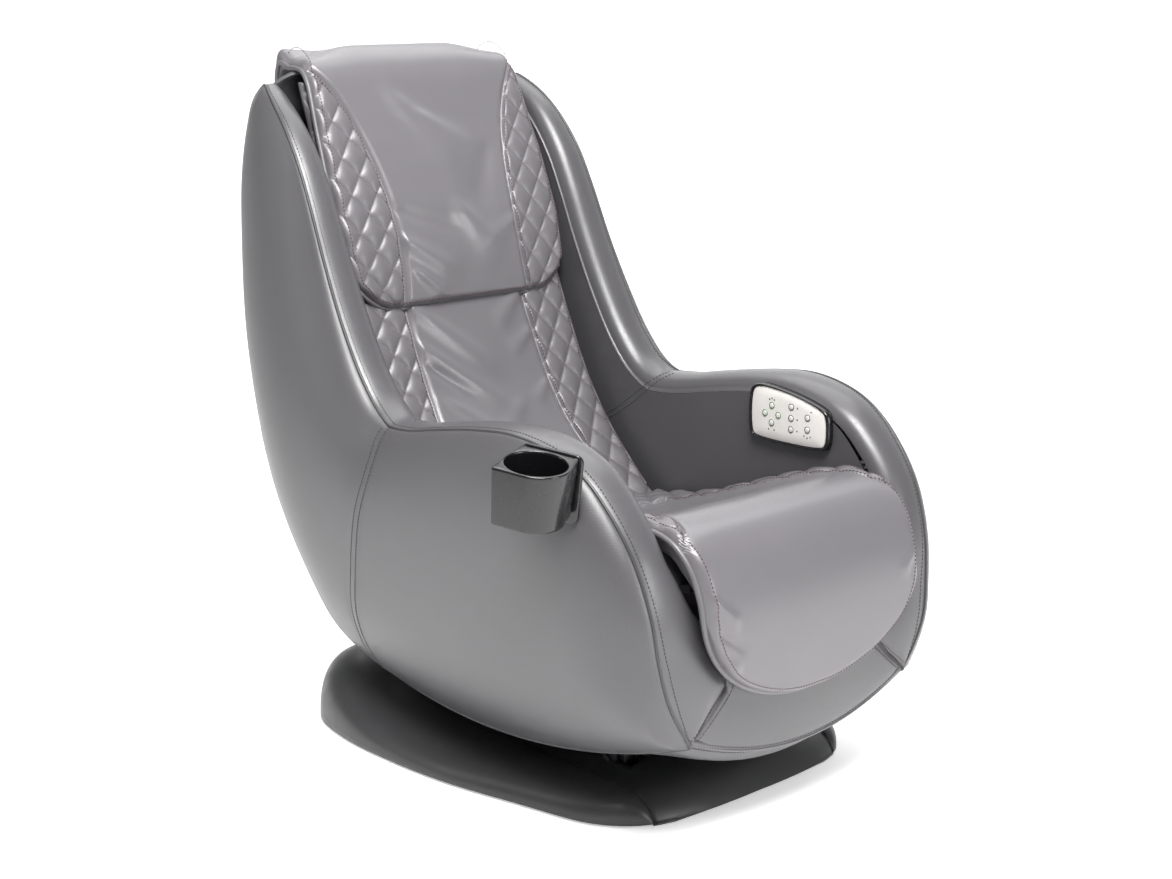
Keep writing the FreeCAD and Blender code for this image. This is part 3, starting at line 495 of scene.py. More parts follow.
SLOT_MATERIALS = {
    "upholstery": SMOOTH, "overlay": PADS, "shell_plastic": SHELL_PLASTIC, "base_plastic": BASE_PLASTIC,
    "steel": BLACK_STEEL, "bright_steel": BRIGHT_STEEL, "rubber": RUBBER, "gloss_black": GLOSS_BLACK,
    "faceplate": FACEPLATE, "key_green": KEY_GREEN, "key_grey": KEY_GREY, "wood": WOOD, "zinc": ZINC,
    "nylon": NYLON, "airbag": AIRBAG, "motor": MOTOR,
}


def finish_cad_nodes():
    """Every CAD node takes the procedural material of its record slot."""
    slot_of = {part["node"]: part["material_slot"] for part in frame["record"]["subparts"]}
    for name, node in frame["nodes"].items():
        node.data.materials.clear()
        node.data.materials.append(DARK_NYLON if "_track_" in name else SLOT_MATERIALS[slot_of[name]])


# ------------------------------------------------------------------ the wings' outline
GLIDE_Y, GLIDE_Z, GLIDE_RADIUS = -0.070, 1.164, 1.080


def underside(y):
    """Height of the shell's round underside."""
    return GLIDE_Z - np.sqrt(GLIDE_RADIUS ** 2 - (np.asarray(y) - GLIDE_Y) ** 2)


CORNER, NOTCH, TIP, HEEL = (222, -445, 156), (296, 84, 506), (252, 430, 972), (246, 206, 121)
FRONT_EDGE = [CORNER, (246, -447, 190), (264, -446, 225), (275, -440, 275), (281, -431, 338),
              (288, -404, 412), (293, -366, 466), (297, -320, 508), (302, -263, 532)]
ARM_EDGE = [(302, -263, 532), (306, -195, 542), (307, -126, 537), (306, -45, 524), (304, 30, 510), NOTCH]
WING_EDGE = [NOTCH, (291, 117, 524), (289, 156, 565), (288, 200, 634), (285, 245, 722), (282, 280, 800),
             (279, 310, 858), (273, 353, 914), (265, 394, 950), TIP]
REAR_EDGE = [HEEL, (258, 256, 155), (267, 305, 224), (276, 373, 349), (281, 424, 520), (283, 445, 620),
             (282, 456, 726), (278, 459, 833), (268, 455, 908), (260, 447, 950), TIP]
SEAM_FOOT = (0.249, 0.160)
SEAM = [(160, float(underside(0.160)) * 1000), (152, 219), (135, 288), (115, 369), (88, 454), NOTCH[1:]]


def edge_section(points, fractions):
    return resample(spline(mm(points)), fractions)


def bottom_section(corner, fractions):
    """The outline along the underside, from the outer seam to a corner."""
    t = np.linspace(0, 1, 60)
    y = SEAM_FOOT[1] + (corner[1] - SEAM_FOOT[1]) * t
    x = SEAM_FOOT[0] + (corner[0] - SEAM_FOOT[0]) * t ** 3
    section = resample(np.stack([x, y, underside(y)], axis=1), fractions)
    section[-1] = corner
    return section


ROWS, ARM_COLUMNS, WING_COLUMNS = 72, 76, 64
V = tight_both(ROWS)
U_ARM = tight_end(ARM_COLUMNS)
U_WING = tight_end(WING_COLUMNS)


# The runs of the outline and the outer seam, sampled so that the two patches of each side meet.
SECTIONS = dict(front=edge_section(FRONT_EDGE, V), arm=edge_section(ARM_EDGE[::-1], U_ARM),
                wing=edge_section(WING_EDGE, U_WING), rear=edge_section(REAR_EDGE, V),
                under_arm=bottom_section(mm(CORNER), U_ARM), under_wing=bottom_section(mm(HEEL), U_WING),
                seam=edge_section(SEAM, V))
OUTER_SEAM = SECTIONS["seam"]
# each run of the closed outline, and the direction it is walked in
RUNS = (("front", 1), ("arm", -1), ("wing", 1), ("rear", -1), ("under_wing", -1), ("under_arm", 1))


def around():
    """The whole outline as one closed run of (x, y, z), from the front corner up and round to it again."""
    runs = [SECTIONS[name][::step] for name, step in RUNS]
    return np.concatenate([runs[0], *(run[1:] for run in runs[1:-1]), runs[-1][1:-1]])


OUTLINE = around()


def nearest_on(ring, points):
    """For side-view points: the distance to a closed 3D ring, and the nearest ring point's x."""
    closed = np.vstack([ring, ring[:1]])
    start, step = closed[:-1], np.diff(closed, axis=0)
    length2 = np.maximum((step[:, 1:] ** 2).sum(axis=1), 1e-12)
    flat = points.reshape(-1, 2)
    distance, nearest = np.empty(len(flat)), np.empty(len(flat))
    for first in range(0, len(flat), 2000):
        away = flat[first:first + 2000, None] - start[None, :, 1:]
        t = np.clip((away * step[None, :, 1:]).sum(axis=2) / length2, 0, 1)
        gap = np.linalg.norm(away - step[None, :, 1:] * t[..., None], axis=2)
        index = gap.argmin(axis=1)
        row = np.arange(len(gap))
        distance[first:first + 2000] = gap[row, index]
        nearest[first:first + 2000] = start[index, 0] + step[index, 0] * t[row, index]
    return distance.reshape(points.shape[:-1]), nearest.reshape(points.shape[:-1])


BELLY = spline(mm([(268, 80), (292, 125), (314, 190), (328, 270), (338, 370), (341, 450), (337, 540),
                   (326, 640), (313, 740), (303, 840), (292, 920), (278, 1000)]))
BELLY_WIDTH = 0.125
# the cup holder's plate in the holder's frame, and how softly the padding gives round it
PLATE_HALF, PLATE_LOW, PLATE_HIGH, PLATE_BACK, DENT_SOFTNESS = 0.041, -0.012, 0.078, 0.0536, 0.0016
PANEL_THICKNESS = 0.012


def turned(degrees, axis):
    return Matrix.Rotation(math.radians(degrees), 4, axis)


CUP_FRAME = Matrix.Translation((-0.389, -0.324, 0.467)) @ turned(24, "Z") @ turned(8, "X") @ turned(-6, "Y")


def side_patches(sections):
    """Two side-view grids, in front of the outer seam and behind it."""
    flat = {name: run[:, -2:] for name, run in sections.items()}
    arm = coons(flat["under_arm"], flat["arm"], flat["seam"], flat["front"], U_ARM, V)
    wing = coons(flat["under_wing"], flat["wing"], flat["seam"], flat["rear"], U_WING, V)
    return arm, wing


def with_x(x, flat):
    return np.concatenate([x[..., None], flat], axis=-1)


def side_panel(side, sign):
    """The outer panel: a belly that swells out of the outline, closed behind by a flat copy."""
    patch = Patchwork()
    for flat in side_patches(SECTIONS):
        distance, edge_x = nearest_on(OUTLINE, flat)
        reach = np.clip(distance / BELLY_WIDTH, 0, 1)
        swell = np.sqrt(1 - (1 - reach) ** 2)
        belly = np.interp(flat[..., 1], BELLY[:, 1], BELLY[:, 0])
        patch.add(with_x(edge_x + (belly - edge_x) * swell, flat))
        patch.add(with_x(edge_x - PANEL_THICKNESS, flat), flip=True)
    patch.add(np.array([OUTLINE, OUTLINE - [PANEL_THICKNESS, 0, 0]]), wrap=True)
    obj = patch.mesh("side_panel_%s_cover" % side, WEAVE, 4e-5)
    relax_belly(obj)
    if sign < 0:
        mirror_object(obj)
    press_seam(obj, sign)
    if sign < 0:
        press_plate(obj)
    belongs(obj, "chair", "upholstery", "side_panel_" + side, fill=0.8)


def relax_belly(obj):
    """Evens out the crease where the swelling from two edges meets."""
    bm = bmesh.new()
    bm.from_mesh(obj.data)
    points = np.array([v.co for v in bm.verts])
    distance, edge_x = nearest_on(OUTLINE, points[:, 1:])
    inside = [v for v, d, e in zip(bm.verts, distance, edge_x) if d > 0.02 and v.co.x > e + 0.002]
    for _ in range(60):
        bmesh.ops.smooth_vert(bm, verts=inside, factor=0.5, use_axis_x=True, use_axis_y=False,
                              use_axis_z=False)
    bm.to_mesh(obj.data)
    bm.free()


def press_plate(obj):
    """The dent that the cup holder's plate makes in the padding, worked out in the holder's own frame."""
    into = np.array(CUP_FRAME.inverted())
    turn, origin = into[:3, :3], into[:3, 3]
    local = points_of(obj) @ turn.T + origin
    beside = np.maximum(np.abs(local[:, 1]) - PLATE_HALF, 0)
    beyond = np.maximum(PLATE_LOW - local[:, 2], 0) + np.maximum(local[:, 2] - PLATE_HIGH, 0)
    away = np.hypot(beside, beyond)
    floor = PLATE_BACK - 0.0145 * (1 - np.exp(-away / 0.011)) - 0.6 * away
    near = (local[:, 0] > -0.02) & (away < 0.05)
    local[:, 0] += np.where(near, DENT_SOFTNESS * np.logaddexp(0, (floor - local[:, 0]) / DENT_SOFTNESS), 0)
    move_points(obj, (local - origin) @ turn)


def press_seam(obj, sign):
    """The raised fell of the outer seam, between two stitched furrows."""
    dense = resample(OUTER_SEAM, even(500))
    co = points_of(obj)
    out = co[:, 0] * sign > 0.262
    gap = np.linalg.norm(co[out][:, None, 1:] - dense[None], axis=2).min(axis=1)
    furrow = -0.0012 * (np.exp(-((gap - 0.006) / 0.0022) ** 2)) + 0.0006 * np.exp(-(gap / 0.004) ** 2)
    co[out, 0] += sign * furrow
    move_points(obj, co)


# ------------------------------------------------------------------ arm and wing liners
INNER_X = 0.228
BAND = [(0.0, 0.0), (0.05, -1.6), (0.14, -3.6), (0.28, -5.4), (0.45, -6.2), (0.6, -5.6), (0.74, -3.2),
        (0.86, 1.6), (0.94, 7.0), (0.985, 14.0), (1.0, 22.0)]
LINER_FRONT = mm([(156, 221), (186, 184), (220, 150), (262, 150), (330, 200), (400, 226), (450, 228)])


def liner_rings():
    """Rings from the piping, over the padded edge, to the inner face, for the closed outline."""
    count = len(OUTLINE)
    on_front = np.arange(count) < len(V)
    under = np.arange(count) >= 2 * len(V) + len(U_ARM) + len(U_WING) - 3
    z = OUTLINE[:, 2]
    closed = np.vstack([OUTLINE[-1:], OUTLINE, OUTLINE[:1]])
    tangent = unit((closed[2:] - closed[:-2])[:, 1:])
    inward = np.stack([tangent[:, 1], -tangent[:, 0]], axis=1)
    tip_gap = np.linalg.norm(OUTLINE[:, 1:] - mm(TIP)[1:], axis=1)
    tip = 0.30 + 0.70 * smoothstep(0.01, 0.09, tip_gap)
    low_front = on_front & (z < 0.45)
    inner_x = np.full(count, INNER_X)
    inner_x[low_front] = np.interp(z[low_front], LINER_FRONT[:, 0], LINER_FRONT[:, 1])
    flat_front = np.where(on_front, 1 - smoothstep(0.24, 0.44, z), 0.0)
    rings = []
    for share, depth in BAND:
        depth = depth / 1000
        inset = np.where(under, max(depth, 0.001 + 0.012 * share), depth)
        eased = np.minimum(inset, 0.0025 * share) if depth > 0 else inset * 0.5
        inset = inset * (1 - flat_front) + eased * flat_front
        ring = OUTLINE.copy()
        ring[:, 1:] += inward * (inset * tip)[:, None]
        ring[:, 0] += (inner_x - OUTLINE[:, 0]) * share
        rings.append(ring)
    return rings


def split_ring(ring):
    """Cuts a closed ring back into the six runs of the outline, in the order the patches need."""
    cuts = np.cumsum([0] + [len(SECTIONS[name]) - 1 for name, _ in RUNS])
    closed = np.vstack([ring, ring[:1]])
    sections = {name: closed[a:b + 1][::step] for (name, step), a, b in zip(RUNS, cuts, cuts[1:])}
    base, top = sections["under_arm"][0, 1:], sections["arm"][0, 1:]
    t = even(len(V))[:, None]
    drift = (base - OUTER_SEAM[0]) * (1 - t) + (top - OUTER_SEAM[-1]) * t
    sections["seam"] = OUTER_SEAM + drift
    return sections


def liner(side, sign):
    """The padded edge and inner face of one wing; returns its rings for the trim."""
    rings = liner_rings()
    patch = Patchwork()
    patch.add(np.array(rings), wrap=True)
    for flat in side_patches(split_ring(rings[-1])):
        gap, near = nearest_on(rings[-1], flat)
        patch.add(with_x(INNER_X + (near - INNER_X) * np.exp(-(gap / 0.03) ** 2), flat))
    for flat in side_patches(SECTIONS):
        _, edge_x = nearest_on(OUTLINE, flat)
        patch.add(with_x(edge_x - 0.0004, flat))
    obj = patch.mesh("arm_liner_%s_cover" % side, SMOOTH, 6e-5)
    if sign < 0:
        mirror_object(obj)
    belongs(obj, "chair", "upholstery", "arm_liner_" + side, fill=0.85)
    return rings


def edge_trim(rings, side, sign):
    """The piping along the outline, with a stitched row inside it."""
    placed = [1 if sign > 0 else -1, 1, 1]
    path = OUTLINE + [0.0008, 0, 0]
    path = resample(np.vstack([path, path[:1]]), even(700))[:-1] * placed
    pipe = sweep("edge_piping_" + side, path, round_profile(0.0024), EDGE_PIPING, closed=True)
    belongs(pipe, "chair", "upholstery")
    row = rings[1] * 0.35 + rings[2] * 0.65
    row = resample(np.vstack([row, row[:1]]), even(900)) * placed
    normals = unit(np.cross(np.gradient(row, axis=0), [-1.0 * sign, 0, 0]))
    outwards = np.einsum("ij,ij->i", normals, row - [0.27 * sign, 0.0, 0.4])
    normals[outwards < 0] *= -1
    stitching.add("chair_dark", row, normals)


# ------------------------------------------------------------------ pads that follow a side-view line
class Pad:
    """A stuffed pad laid along a side-view line, with its own crown, rim and surface relief."""

    def __init__(self, line, half_width, front, back, rim, start=None, end=None, relief=None, turn=1):
        self.line = resample(line, even(600))
        self.along = arc_lengths(self.line)
        self.normal = left_of(self.line) * turn
        self.length = self.along[-1]
        self.half_width, self.front, self.back, self.rim = half_width, front, back, rim
        self.start = start or (lambda x: 0.0 * x)
        self.end = end or (lambda x: self.length + 0.0 * x)
        self.relief = relief or (lambda x, s: 0.0 * x)

    def at(self, values, s):
        return np.stack([np.interp(s, self.along, values[:, k]) for k in range(2)], axis=-1)

    def edge_gap(self, x, s):
        side = self.half_width(s) - np.abs(x)
        return np.maximum(0, np.minimum(side, np.minimum(s - self.start(x), self.end(x) - s)))

    def surface(self, x, s, face=1):
        """A point of the front (face 1), the back (-1) or the middle (0), for each x and distance s."""
        x, s = np.broadcast_arrays(np.asarray(x, float), np.asarray(s, float))
        round_off = np.sqrt(1 - (1 - np.clip(self.edge_gap(x, s) / self.rim, 0, 1)) ** 2)
        if face > 0:
            lift = self.front(x, s) * round_off + self.relief(x, s) * round_off
        elif face < 0:
            lift = -self.back(x, s) * round_off
        else:
            lift = 0 * x
        yz = self.at(self.line, s) + self.at(self.normal, s) * lift[..., None]
        return np.concatenate([x[..., None], yz], axis=-1)

    def normals(self, x, s):
        step = 0.0008
        across = self.surface(x + step, s) - self.surface(x - step, s)
        along = self.surface(x, s + step) - self.surface(x, s - step)
        n = unit(np.cross(across, along))
        guide = np.concatenate([0 * n[..., :1], self.at(self.normal, s)], axis=-1)
        n[np.einsum("...k,...k->...", n, guide) < 0] *= -1
        return n

    def mesh(self, name, columns, rows, material):
        """The closed mesh. columns and rows are fractions across and along."""
        u = 2 * np.asarray(columns)[:, None] - 1
        v = np.asarray(rows)[None]
        x = u * self.half_width(v * self.length)
        s0, s1 = self.start(x), self.end(x)
        s = s0 + v * (s1 - s0)
        x = u * np.maximum(self.half_width(s), 1e-4)
        patch = Patchwork()
        for face in (1, -1):
            patch.add(self.surface(x, s, face), flip=face > 0)
        return patch.mesh(name, material, 3e-5)

    def stitch(self, group, x, s, **options):
        stitching.add(group, self.surface(x, s), self.normals(x, s), **options)


def rimmed(count, rim_share, rim_count):
    """Even fractions with extra ones crowded into the first and last rim_share."""
    rim = rim_share * (1 - np.cos(np.pi / 2 * np.linspace(0, 1, rim_count, endpoint=False)))
    middle = np.linspace(rim_share, 1 - rim_share, count)
    return np.concatenate([rim, middle, 1 - rim[::-1]])


DIAMOND_WIDTH, DIAMOND_HEIGHT = 0.047, 0.059
# how far outside a pad's seam its row of thread runs
SEAM_THREAD = 0.0045


def quilt(x, s, depth=0.0062):
    """Puffed diamonds between two families of stitched lines."""
    a, b = x / DIAMOND_WIDTH + s / DIAMOND_HEIGHT, x / DIAMOND_WIDTH - s / DIAMOND_HEIGHT
    puff = np.abs(np.sin(np.pi * a) * np.sin(np.pi * b))
    return depth * puff ** 0.45


def fold(x, s, start, end, width, height):
    """One soft crease: a ridge from one (x, s) point to another that fades at both ends."""
    (x0, s0), (x1, s1) = start, end
    dx, ds = x1 - x0, s1 - s0
    length = math.hypot(dx, ds)
    t = ((x - x0) * dx + (s - s0) * ds) / length ** 2
    off = ((x - x0) * ds - (s - s0) * dx) / length
    spread = width * (0.6 + 0.8 * np.clip(t, 0, 1))
    return height * np.exp(-(off / spread) ** 2) * smoothstep(-0.15, 0.2, t) * (1 - smoothstep(0.7, 1.15, t))


def groove(gap, width, depth):
    return -depth * np.exp(-(gap / width) ** 2)


def quilted_relief(x, s, seam, folds, lift, quilt_to=np.inf, groove_to=np.inf):
    """Quilted strips outside the two seams and a plain raised centre with folds between them."""
    gap = np.abs(x) - seam(s)
    strip = smoothstep(0.0, 0.006, gap) * (s < quilt_to)
    centre = 1 - smoothstep(-0.012, 0.0, gap)
    puckers = sum(fold(x, s, *f) for f in folds)
    return quilt(x, s) * strip + centre * (lift + puckers) + groove(gap, 0.003, 0.0028) * (s < groove_to)


def dashes_across(pad, group, seam, low, high, limit_high, sides=(1, -1)):
    """Thread along the diamond lines of the strips outside a seam line."""
    steps = np.arange(low, high, 0.002)
    for sign in sides:
        for family in (1, -1):
            for k in range(-60, 60):
                x = DIAMOND_WIDTH * (k - family * steps / DIAMOND_HEIGHT)
                inside = (x * sign > seam(steps) + 0.003) & (x * sign < limit_high(steps) - 0.006)
                inside &= pad.edge_gap(x, steps) > 0.006
                for run in np.split(np.arange(len(steps)), np.where(~inside)[0]):
                    run = run[inside[run]] if len(run) else run
                    if len(run) > 3:
                        pad.stitch(group, x[run], steps[run])


# ------------------------------------------------------------------ back overlay
BACK_FACE = spline(mm([(50, 314), (66, 328), (105, 364), (165, 428), (214, 500), (258, 590), (288, 660),
                       (325, 760), (362, 860), (392, 940), (404, 975)]))


def make_back_overlay():
    seam = spline_of([(0, 150), (90, 138), (180, 126), (300, 121), (400, 119), (520, 122), (760, 128)])
    folds = [((-0.112, 0.40), (0.02, 0.27), 0.020, 0.0070), ((-0.115, 0.335), (0.03, 0.20), 0.017, 0.0055),
             ((-0.110, 0.30), (-0.02, 0.22), 0.012, -0.0040), ((0.112, 0.40), (0.045, 0.345), 0.014, 0.0045),
             ((0.116, 0.335), (0.06, 0.30), 0.012, 0.0038), ((-0.100, 0.24), (0.02, 0.13), 0.017, 0.0050),
             ((0.05, 0.22), (-0.04, 0.13), 0.019, 0.0032), ((0.115, 0.245), (0.075, 0.21), 0.011, 0.0032)]

    pad = Pad(BACK_FACE, lambda s: 0.210 + 0 * s, lambda x, s: 0.004 + 0.003 * (1 - (x / 0.21) ** 2),
              lambda x, s: 0.009 + 0 * x, 0.012,
              relief=lambda x, s: quilted_relief(x, s, seam, folds, 0.0035))
    obj = pad.mesh("back_overlay_cover", rimmed(220, 0.03, 7), rimmed(400, 0.02, 6), PADS)
    paint_strips(obj, lambda p: strip_mask(pad, p, seam))
    belongs(obj, "chair", "overlay", "back_overlay", fill=0.6)
    low, high = 0.03, 0.52
    dashes_across(pad, "chair_red", seam, low, high, pad.half_width)
    steps = np.arange(low, high, 0.002)
    for sign in (1, -1):
        pad.stitch("chair_red", sign * (seam(steps) + SEAM_THREAD), steps)
        pad.stitch("chair_red", sign * (pad.half_width(steps) - 0.0075), steps)
        border = pad.surface(sign * pad.half_width(steps), steps, 0)
        border[:, 0] -= sign * 0.001
        name = "overlay_piping_left" if sign > 0 else "overlay_piping_right"
        belongs(sweep(name, border, round_profile(0.0034), PIPING), "chair", "overlay")


def strip_mask(pad, points, seam):
    """Which points of a pad's mesh lie in its quilted strips."""
    gap = np.linalg.norm(points[:, None, 1:] - pad.line[None, ::4], axis=2)
    s = pad.along[::4][gap.argmin(axis=1)]
    return np.abs(points[:, 0]) > seam(s) + 0.0005


def paint_strips(obj, mask_of):
    """Gives the quilted faces their own, slightly darker leather."""
    obj.data.materials.append(QUILT)
    centres = np.zeros(len(obj.data.polygons) * 3)
    obj.data.polygons.foreach_get("center", centres)
    quilted = mask_of(centres.reshape(-1, 3))
    obj.data.polygons.foreach_set("material_index", quilted.astype(np.int32))


# ------------------------------------------------------------------ seat cushion with its front tongue
SEAT_TOP = spline(mm([(52, 318), (10, 323), (-45, 333), (-100, 348), (-160, 369), (-220, 391), (-280, 411),
                      (-330, 424), (-372, 428), (-408, 418), (-434, 394), (-450, 360), (-459, 320),
                      (-461, 270), (-459, 225), (-456, 188)]))
TONGUE_HALF, TONGUE_DROP, TONGUE_FROM = 0.214, 0.143, 0.330
REAR_SEAM = 0.085


def make_seat():
    tail = SEAT_TOP[:, 0] < -0.44
    z_tail, s_tail = SEAT_TOP[tail, 1][::-1], arc_lengths(SEAT_TOP)[tail][::-1]
    height_to_s = lambda z: np.interp(z, z_tail, s_tail)

    def end(x):
        bow = np.sqrt(np.clip(1 - (x / TONGUE_HALF) ** 2, 0, 1))
        return height_to_s(TONGUE_FROM - TONGUE_DROP * bow)

    s_front = height_to_s(0.42 if z_tail.max() > 0.42 else z_tail.max())
    half = lambda s: 0.2185 - (0.2185 - TONGUE_HALF) * smoothstep(s_front - 0.06, s_front + 0.06, s)
    seam = spline_of([(0, 142), (110, 145), (220, 152), (330, 163), (420, 178), (470, 198), (505, 232)])
    crown_height = spline_of([(0, -5), (100, -10), (200, -13), (270, -14), (335, -12), (395, -6), (455, 1),
                              (500, 5), (540, 6), (600, 5), (820, 2)])
    folds = [((-0.10, 0.12), (-0.02, 0.17), 0.014, 0.003), ((0.03, 0.11), (0.09, 0.19), 0.016, 0.0035),
             ((-0.208, 0.56), (-0.165, 0.60), 0.008, 0.0035), ((-0.206, 0.60), (-0.15, 0.635), 0.007, -0.003),
             ((-0.203, 0.64), (-0.16, 0.66), 0.007, 0.0025), ((0.205, 0.57), (0.17, 0.60), 0.008, 0.0025)]

    def relief(x, s):
        gap = np.abs(x) - seam(s)
        behind = s - REAR_SEAM - 0.010 * (x / 0.16) ** 2
        inner = np.minimum(-gap, behind)
        strip = smoothstep(0.0, 0.006, -inner)
        crown = crown_height(s) * np.sqrt(1 - (1 - np.clip(inner / 0.060, 0, 1)) ** 2) + 0.0035 * (inner > 0)
        pucker = sum(fold(x, s, *f) for f in folds)
        return quilt(x, s) * strip + groove(inner, 0.003, 0.0026) * (s < 0.50) + crown + pucker * (inner > 0)

    pad = Pad(SEAT_TOP, half, lambda x, s: 0.009 + 0 * x,
              lambda x, s: 0.026 - 0.018 * smoothstep(s_front - 0.02, s_front + 0.05, s), 0.013,
              end=end, relief=relief, turn=-1)
    obj = pad.mesh("seat_cushion_cover", rimmed(220, 0.045, 9), rimmed(400, 0.03, 8), PADS)
    paint_strips(obj, lambda p: strip_mask(pad, p, seam) & (p[:, 1] > -0.40))
    belongs(obj, "chair", "overlay", "seat_cushion", fill=0.7)
    dashes_across(pad, "chair_red", seam, 0.02, 0.485, pad.half_width)
    steps = np.arange(REAR_SEAM + 0.01, 0.485, 0.002)
    for sign in (1, -1):
        pad.stitch("chair_red", sign * (seam(steps) + SEAM_THREAD), steps)
    hem_of_tongue(pad, height_to_s)


def hem_of_tongue(pad, height_to_s):
    """Grey piping and a stitched row round the tongue's edge."""
    angle = np.linspace(0, np.pi, 240)
    x_low = TONGUE_HALF * np.cos(angle)
    s_low = height_to_s(TONGUE_FROM - TONGUE_DROP * np.sin(angle))
    s_side = np.linspace(0.30, height_to_s(TONGUE_FROM), 90)[:-1]
    x = np.concatenate([pad.half_width(s_side), x_low, -pad.half_width(s_side[::-1])])
    s = np.concatenate([s_side, s_low, s_side[::-1]])
    hem = sweep("tongue_piping", pad.surface(x, s, 0), round_profile(0.0045, 12), PIPING)
    belongs(hem, "chair", "overlay")
    inset_x = x * (1 - 0.011 / TONGUE_HALF)
    inset_s = np.where(np.abs(x) < TONGUE_HALF, np.minimum(s, pad.end(inset_x) - 0.009), s)
    pad.stitch("chair_red", inset_x, inset_s)


# ------------------------------------------------------------------ head pad
HEAD_LINE = spline(mm([(270, 635), (277, 673), (288, 716), (302, 763), (321, 814), (341, 864), (359, 907),
                       (372, 942), (387, 978), (408, 1004), (430, 1014), (451, 1004), (462, 976),
                       (466, 938)]))


def make_head_pad():
    width_at = mm([(0, 200), (45, 212), (120, 218), (220, 216), (320, 209), (400, 203), (520, 194)])
    half = lambda s: np.interp(s, width_at[:, 0], width_at[:, 1])
    corner = lambda x: 0.050 * np.clip((np.abs(x) - 0.125) / 0.087, 0, 1) ** 2.6
    seam = spline_of([(0, 127), (60, 121), (140, 121), (220, 131), (290, 150), (340, 172), (375, 196),
                      (420, 230)])
    folds = [((-0.075, 0.335), (0.045, 0.20), 0.026, 0.0075), ((-0.03, 0.30), (0.075, 0.235), 0.018, 0.0040),
             ((-0.118, 0.105), (-0.02, 0.04), 0.016, 0.0065),
             ((-0.115, 0.150), (0.01, 0.105), 0.014, -0.0040),
             ((0.0, 0.15), (0.07, 0.06), 0.022, 0.0055), ((0.118, 0.12), (0.05, 0.085), 0.013, 0.0040),
             ((-0.10, 0.055), (-0.045, 0.012), 0.010, 0.0045), ((0.10, 0.24), (0.045, 0.13), 0.020, -0.0045)]

    front = lambda x, s: 0.009 + 0.006 * np.exp(-((s - 0.12) / 0.12) ** 2) * (1 - (x / 0.21) ** 2)
    pad = Pad(HEAD_LINE, half, front, lambda x, s: 0.006 + 0 * x, 0.014, start=corner,
              relief=lambda x, s: quilted_relief(x, s, seam, folds, 0.004, 0.40, 0.38))
    obj = pad.mesh("head_pad_cover", rimmed(220, 0.035, 8), rimmed(340, 0.025, 7), PADS)
    paint_strips(obj, lambda p: strip_mask(pad, p, seam) & (p[:, 2] < 0.985))
    move_points(obj, flare(points_of(obj)))
    belongs(obj, None, "overlay", "head_pad", "head_pad_flap", fill=0.5)
    blend_at_hinge(obj)
    dashes_across(pad, "head_red", seam, 0.006, 0.375, half)
    steps = np.arange(0.008, 0.372, 0.002)
    for sign in (1, -1):
        pad.stitch("head_red", sign * (seam(steps) + SEAM_THREAD), steps)
    border_x = np.linspace(-1, 1, 200) * (half(0.0) + 0.012)
    border_x = np.clip(border_x, -0.212, 0.212)
    lower_s = corner(border_x)
    side_s = np.linspace(corner(0.212), pad.length - 0.002, 200)[1:]
    x = np.concatenate([-half(side_s[::-1]), border_x, half(side_s)])
    s = np.concatenate([side_s[::-1], lower_s, side_s])
    pipe = sweep("head_pad_piping", flare(pad.surface(x, s, 0)), round_profile(0.0040, 12), PIPING)
    belongs(pipe, None, "overlay")
    blend_at_hinge(pipe)
    inner_x = x * 0.955
    inner_s = np.clip(np.maximum(s, corner(inner_x) + 0.008), 0, pad.length - 0.006)
    pad.stitch("head_red", inner_x, inner_s)


def flare(points):
    """The flap's side ends sit lower over the wings and stand out behind them."""
    x, y, z = np.moveaxis(points, -1, 0)
    side = smoothstep(0.085, 0.215, np.abs(x))
    ridge = np.exp(-((y - 0.430) / 0.030) ** 2) * (z > 0.955)
    behind = smoothstep(0.436, 0.466, y) * (z > 0.90)
    moved = points.copy()
    near = smoothstep(0.02, -0.16, x)
    moved[..., 0] += np.sign(x) * 0.004 * side * behind
    moved[..., 1] += 0.010 * side * behind * near
    moved[..., 2] += (0.020 * behind * near - 0.019 * ridge) * side
    return moved


def blend_at_hinge(obj):
    """Bakes the object's placement into its mesh."""
    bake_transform(obj)


# ------------------------------------------------------------------ front, underside and rear covers
def bottom_seam_z(x):
    return 0.104 + 0.050 * (x / 0.222) ** 2 - 0.002 * (x / 0.222)


FRONT_TOP, FRONT_Y = 0.415, -0.4465


def make_front_panel():
    """The padded panel under the tongue, between the two slanting seams."""
    across = np.linspace(-1, 1, 90)
    edge_z, edge_x = LINER_FRONT[:, 0], LINER_FRONT[:, 1] + 0.004
    rows = []
    for v in even(110):
        z_side = edge_z[0] + (FRONT_TOP - edge_z[0]) * v
        x = across * (np.interp(z_side, edge_z, edge_x) + 0.012 * smoothstep(0.25, 0.31, z_side))
        z = bottom_seam_z(x) * (1 - v) + FRONT_TOP * v
        z = np.where(np.abs(across) > 0.999, z_side, z)
        belly = 0.007 * np.sin(np.pi * np.clip(v * 1.6 + 0.1, 0, 1)) * (1 - across ** 2)
        sunk = 0.034 * smoothstep(0.235, 0.330, z) + 0.040 * smoothstep(0.33, FRONT_TOP, z)
        rows.append(np.stack([x, FRONT_Y - belly + 0.0035 * np.exp(-v * 28) + sunk, z], axis=1))
    outer = np.array(rows)
    obj = double_skin("front_panel_cover", outer, outer + [0, PANEL_THICKNESS, 0], True, SMOOTH)
    belongs(obj, "chair", "upholstery", "front_panel", fill=0.7)


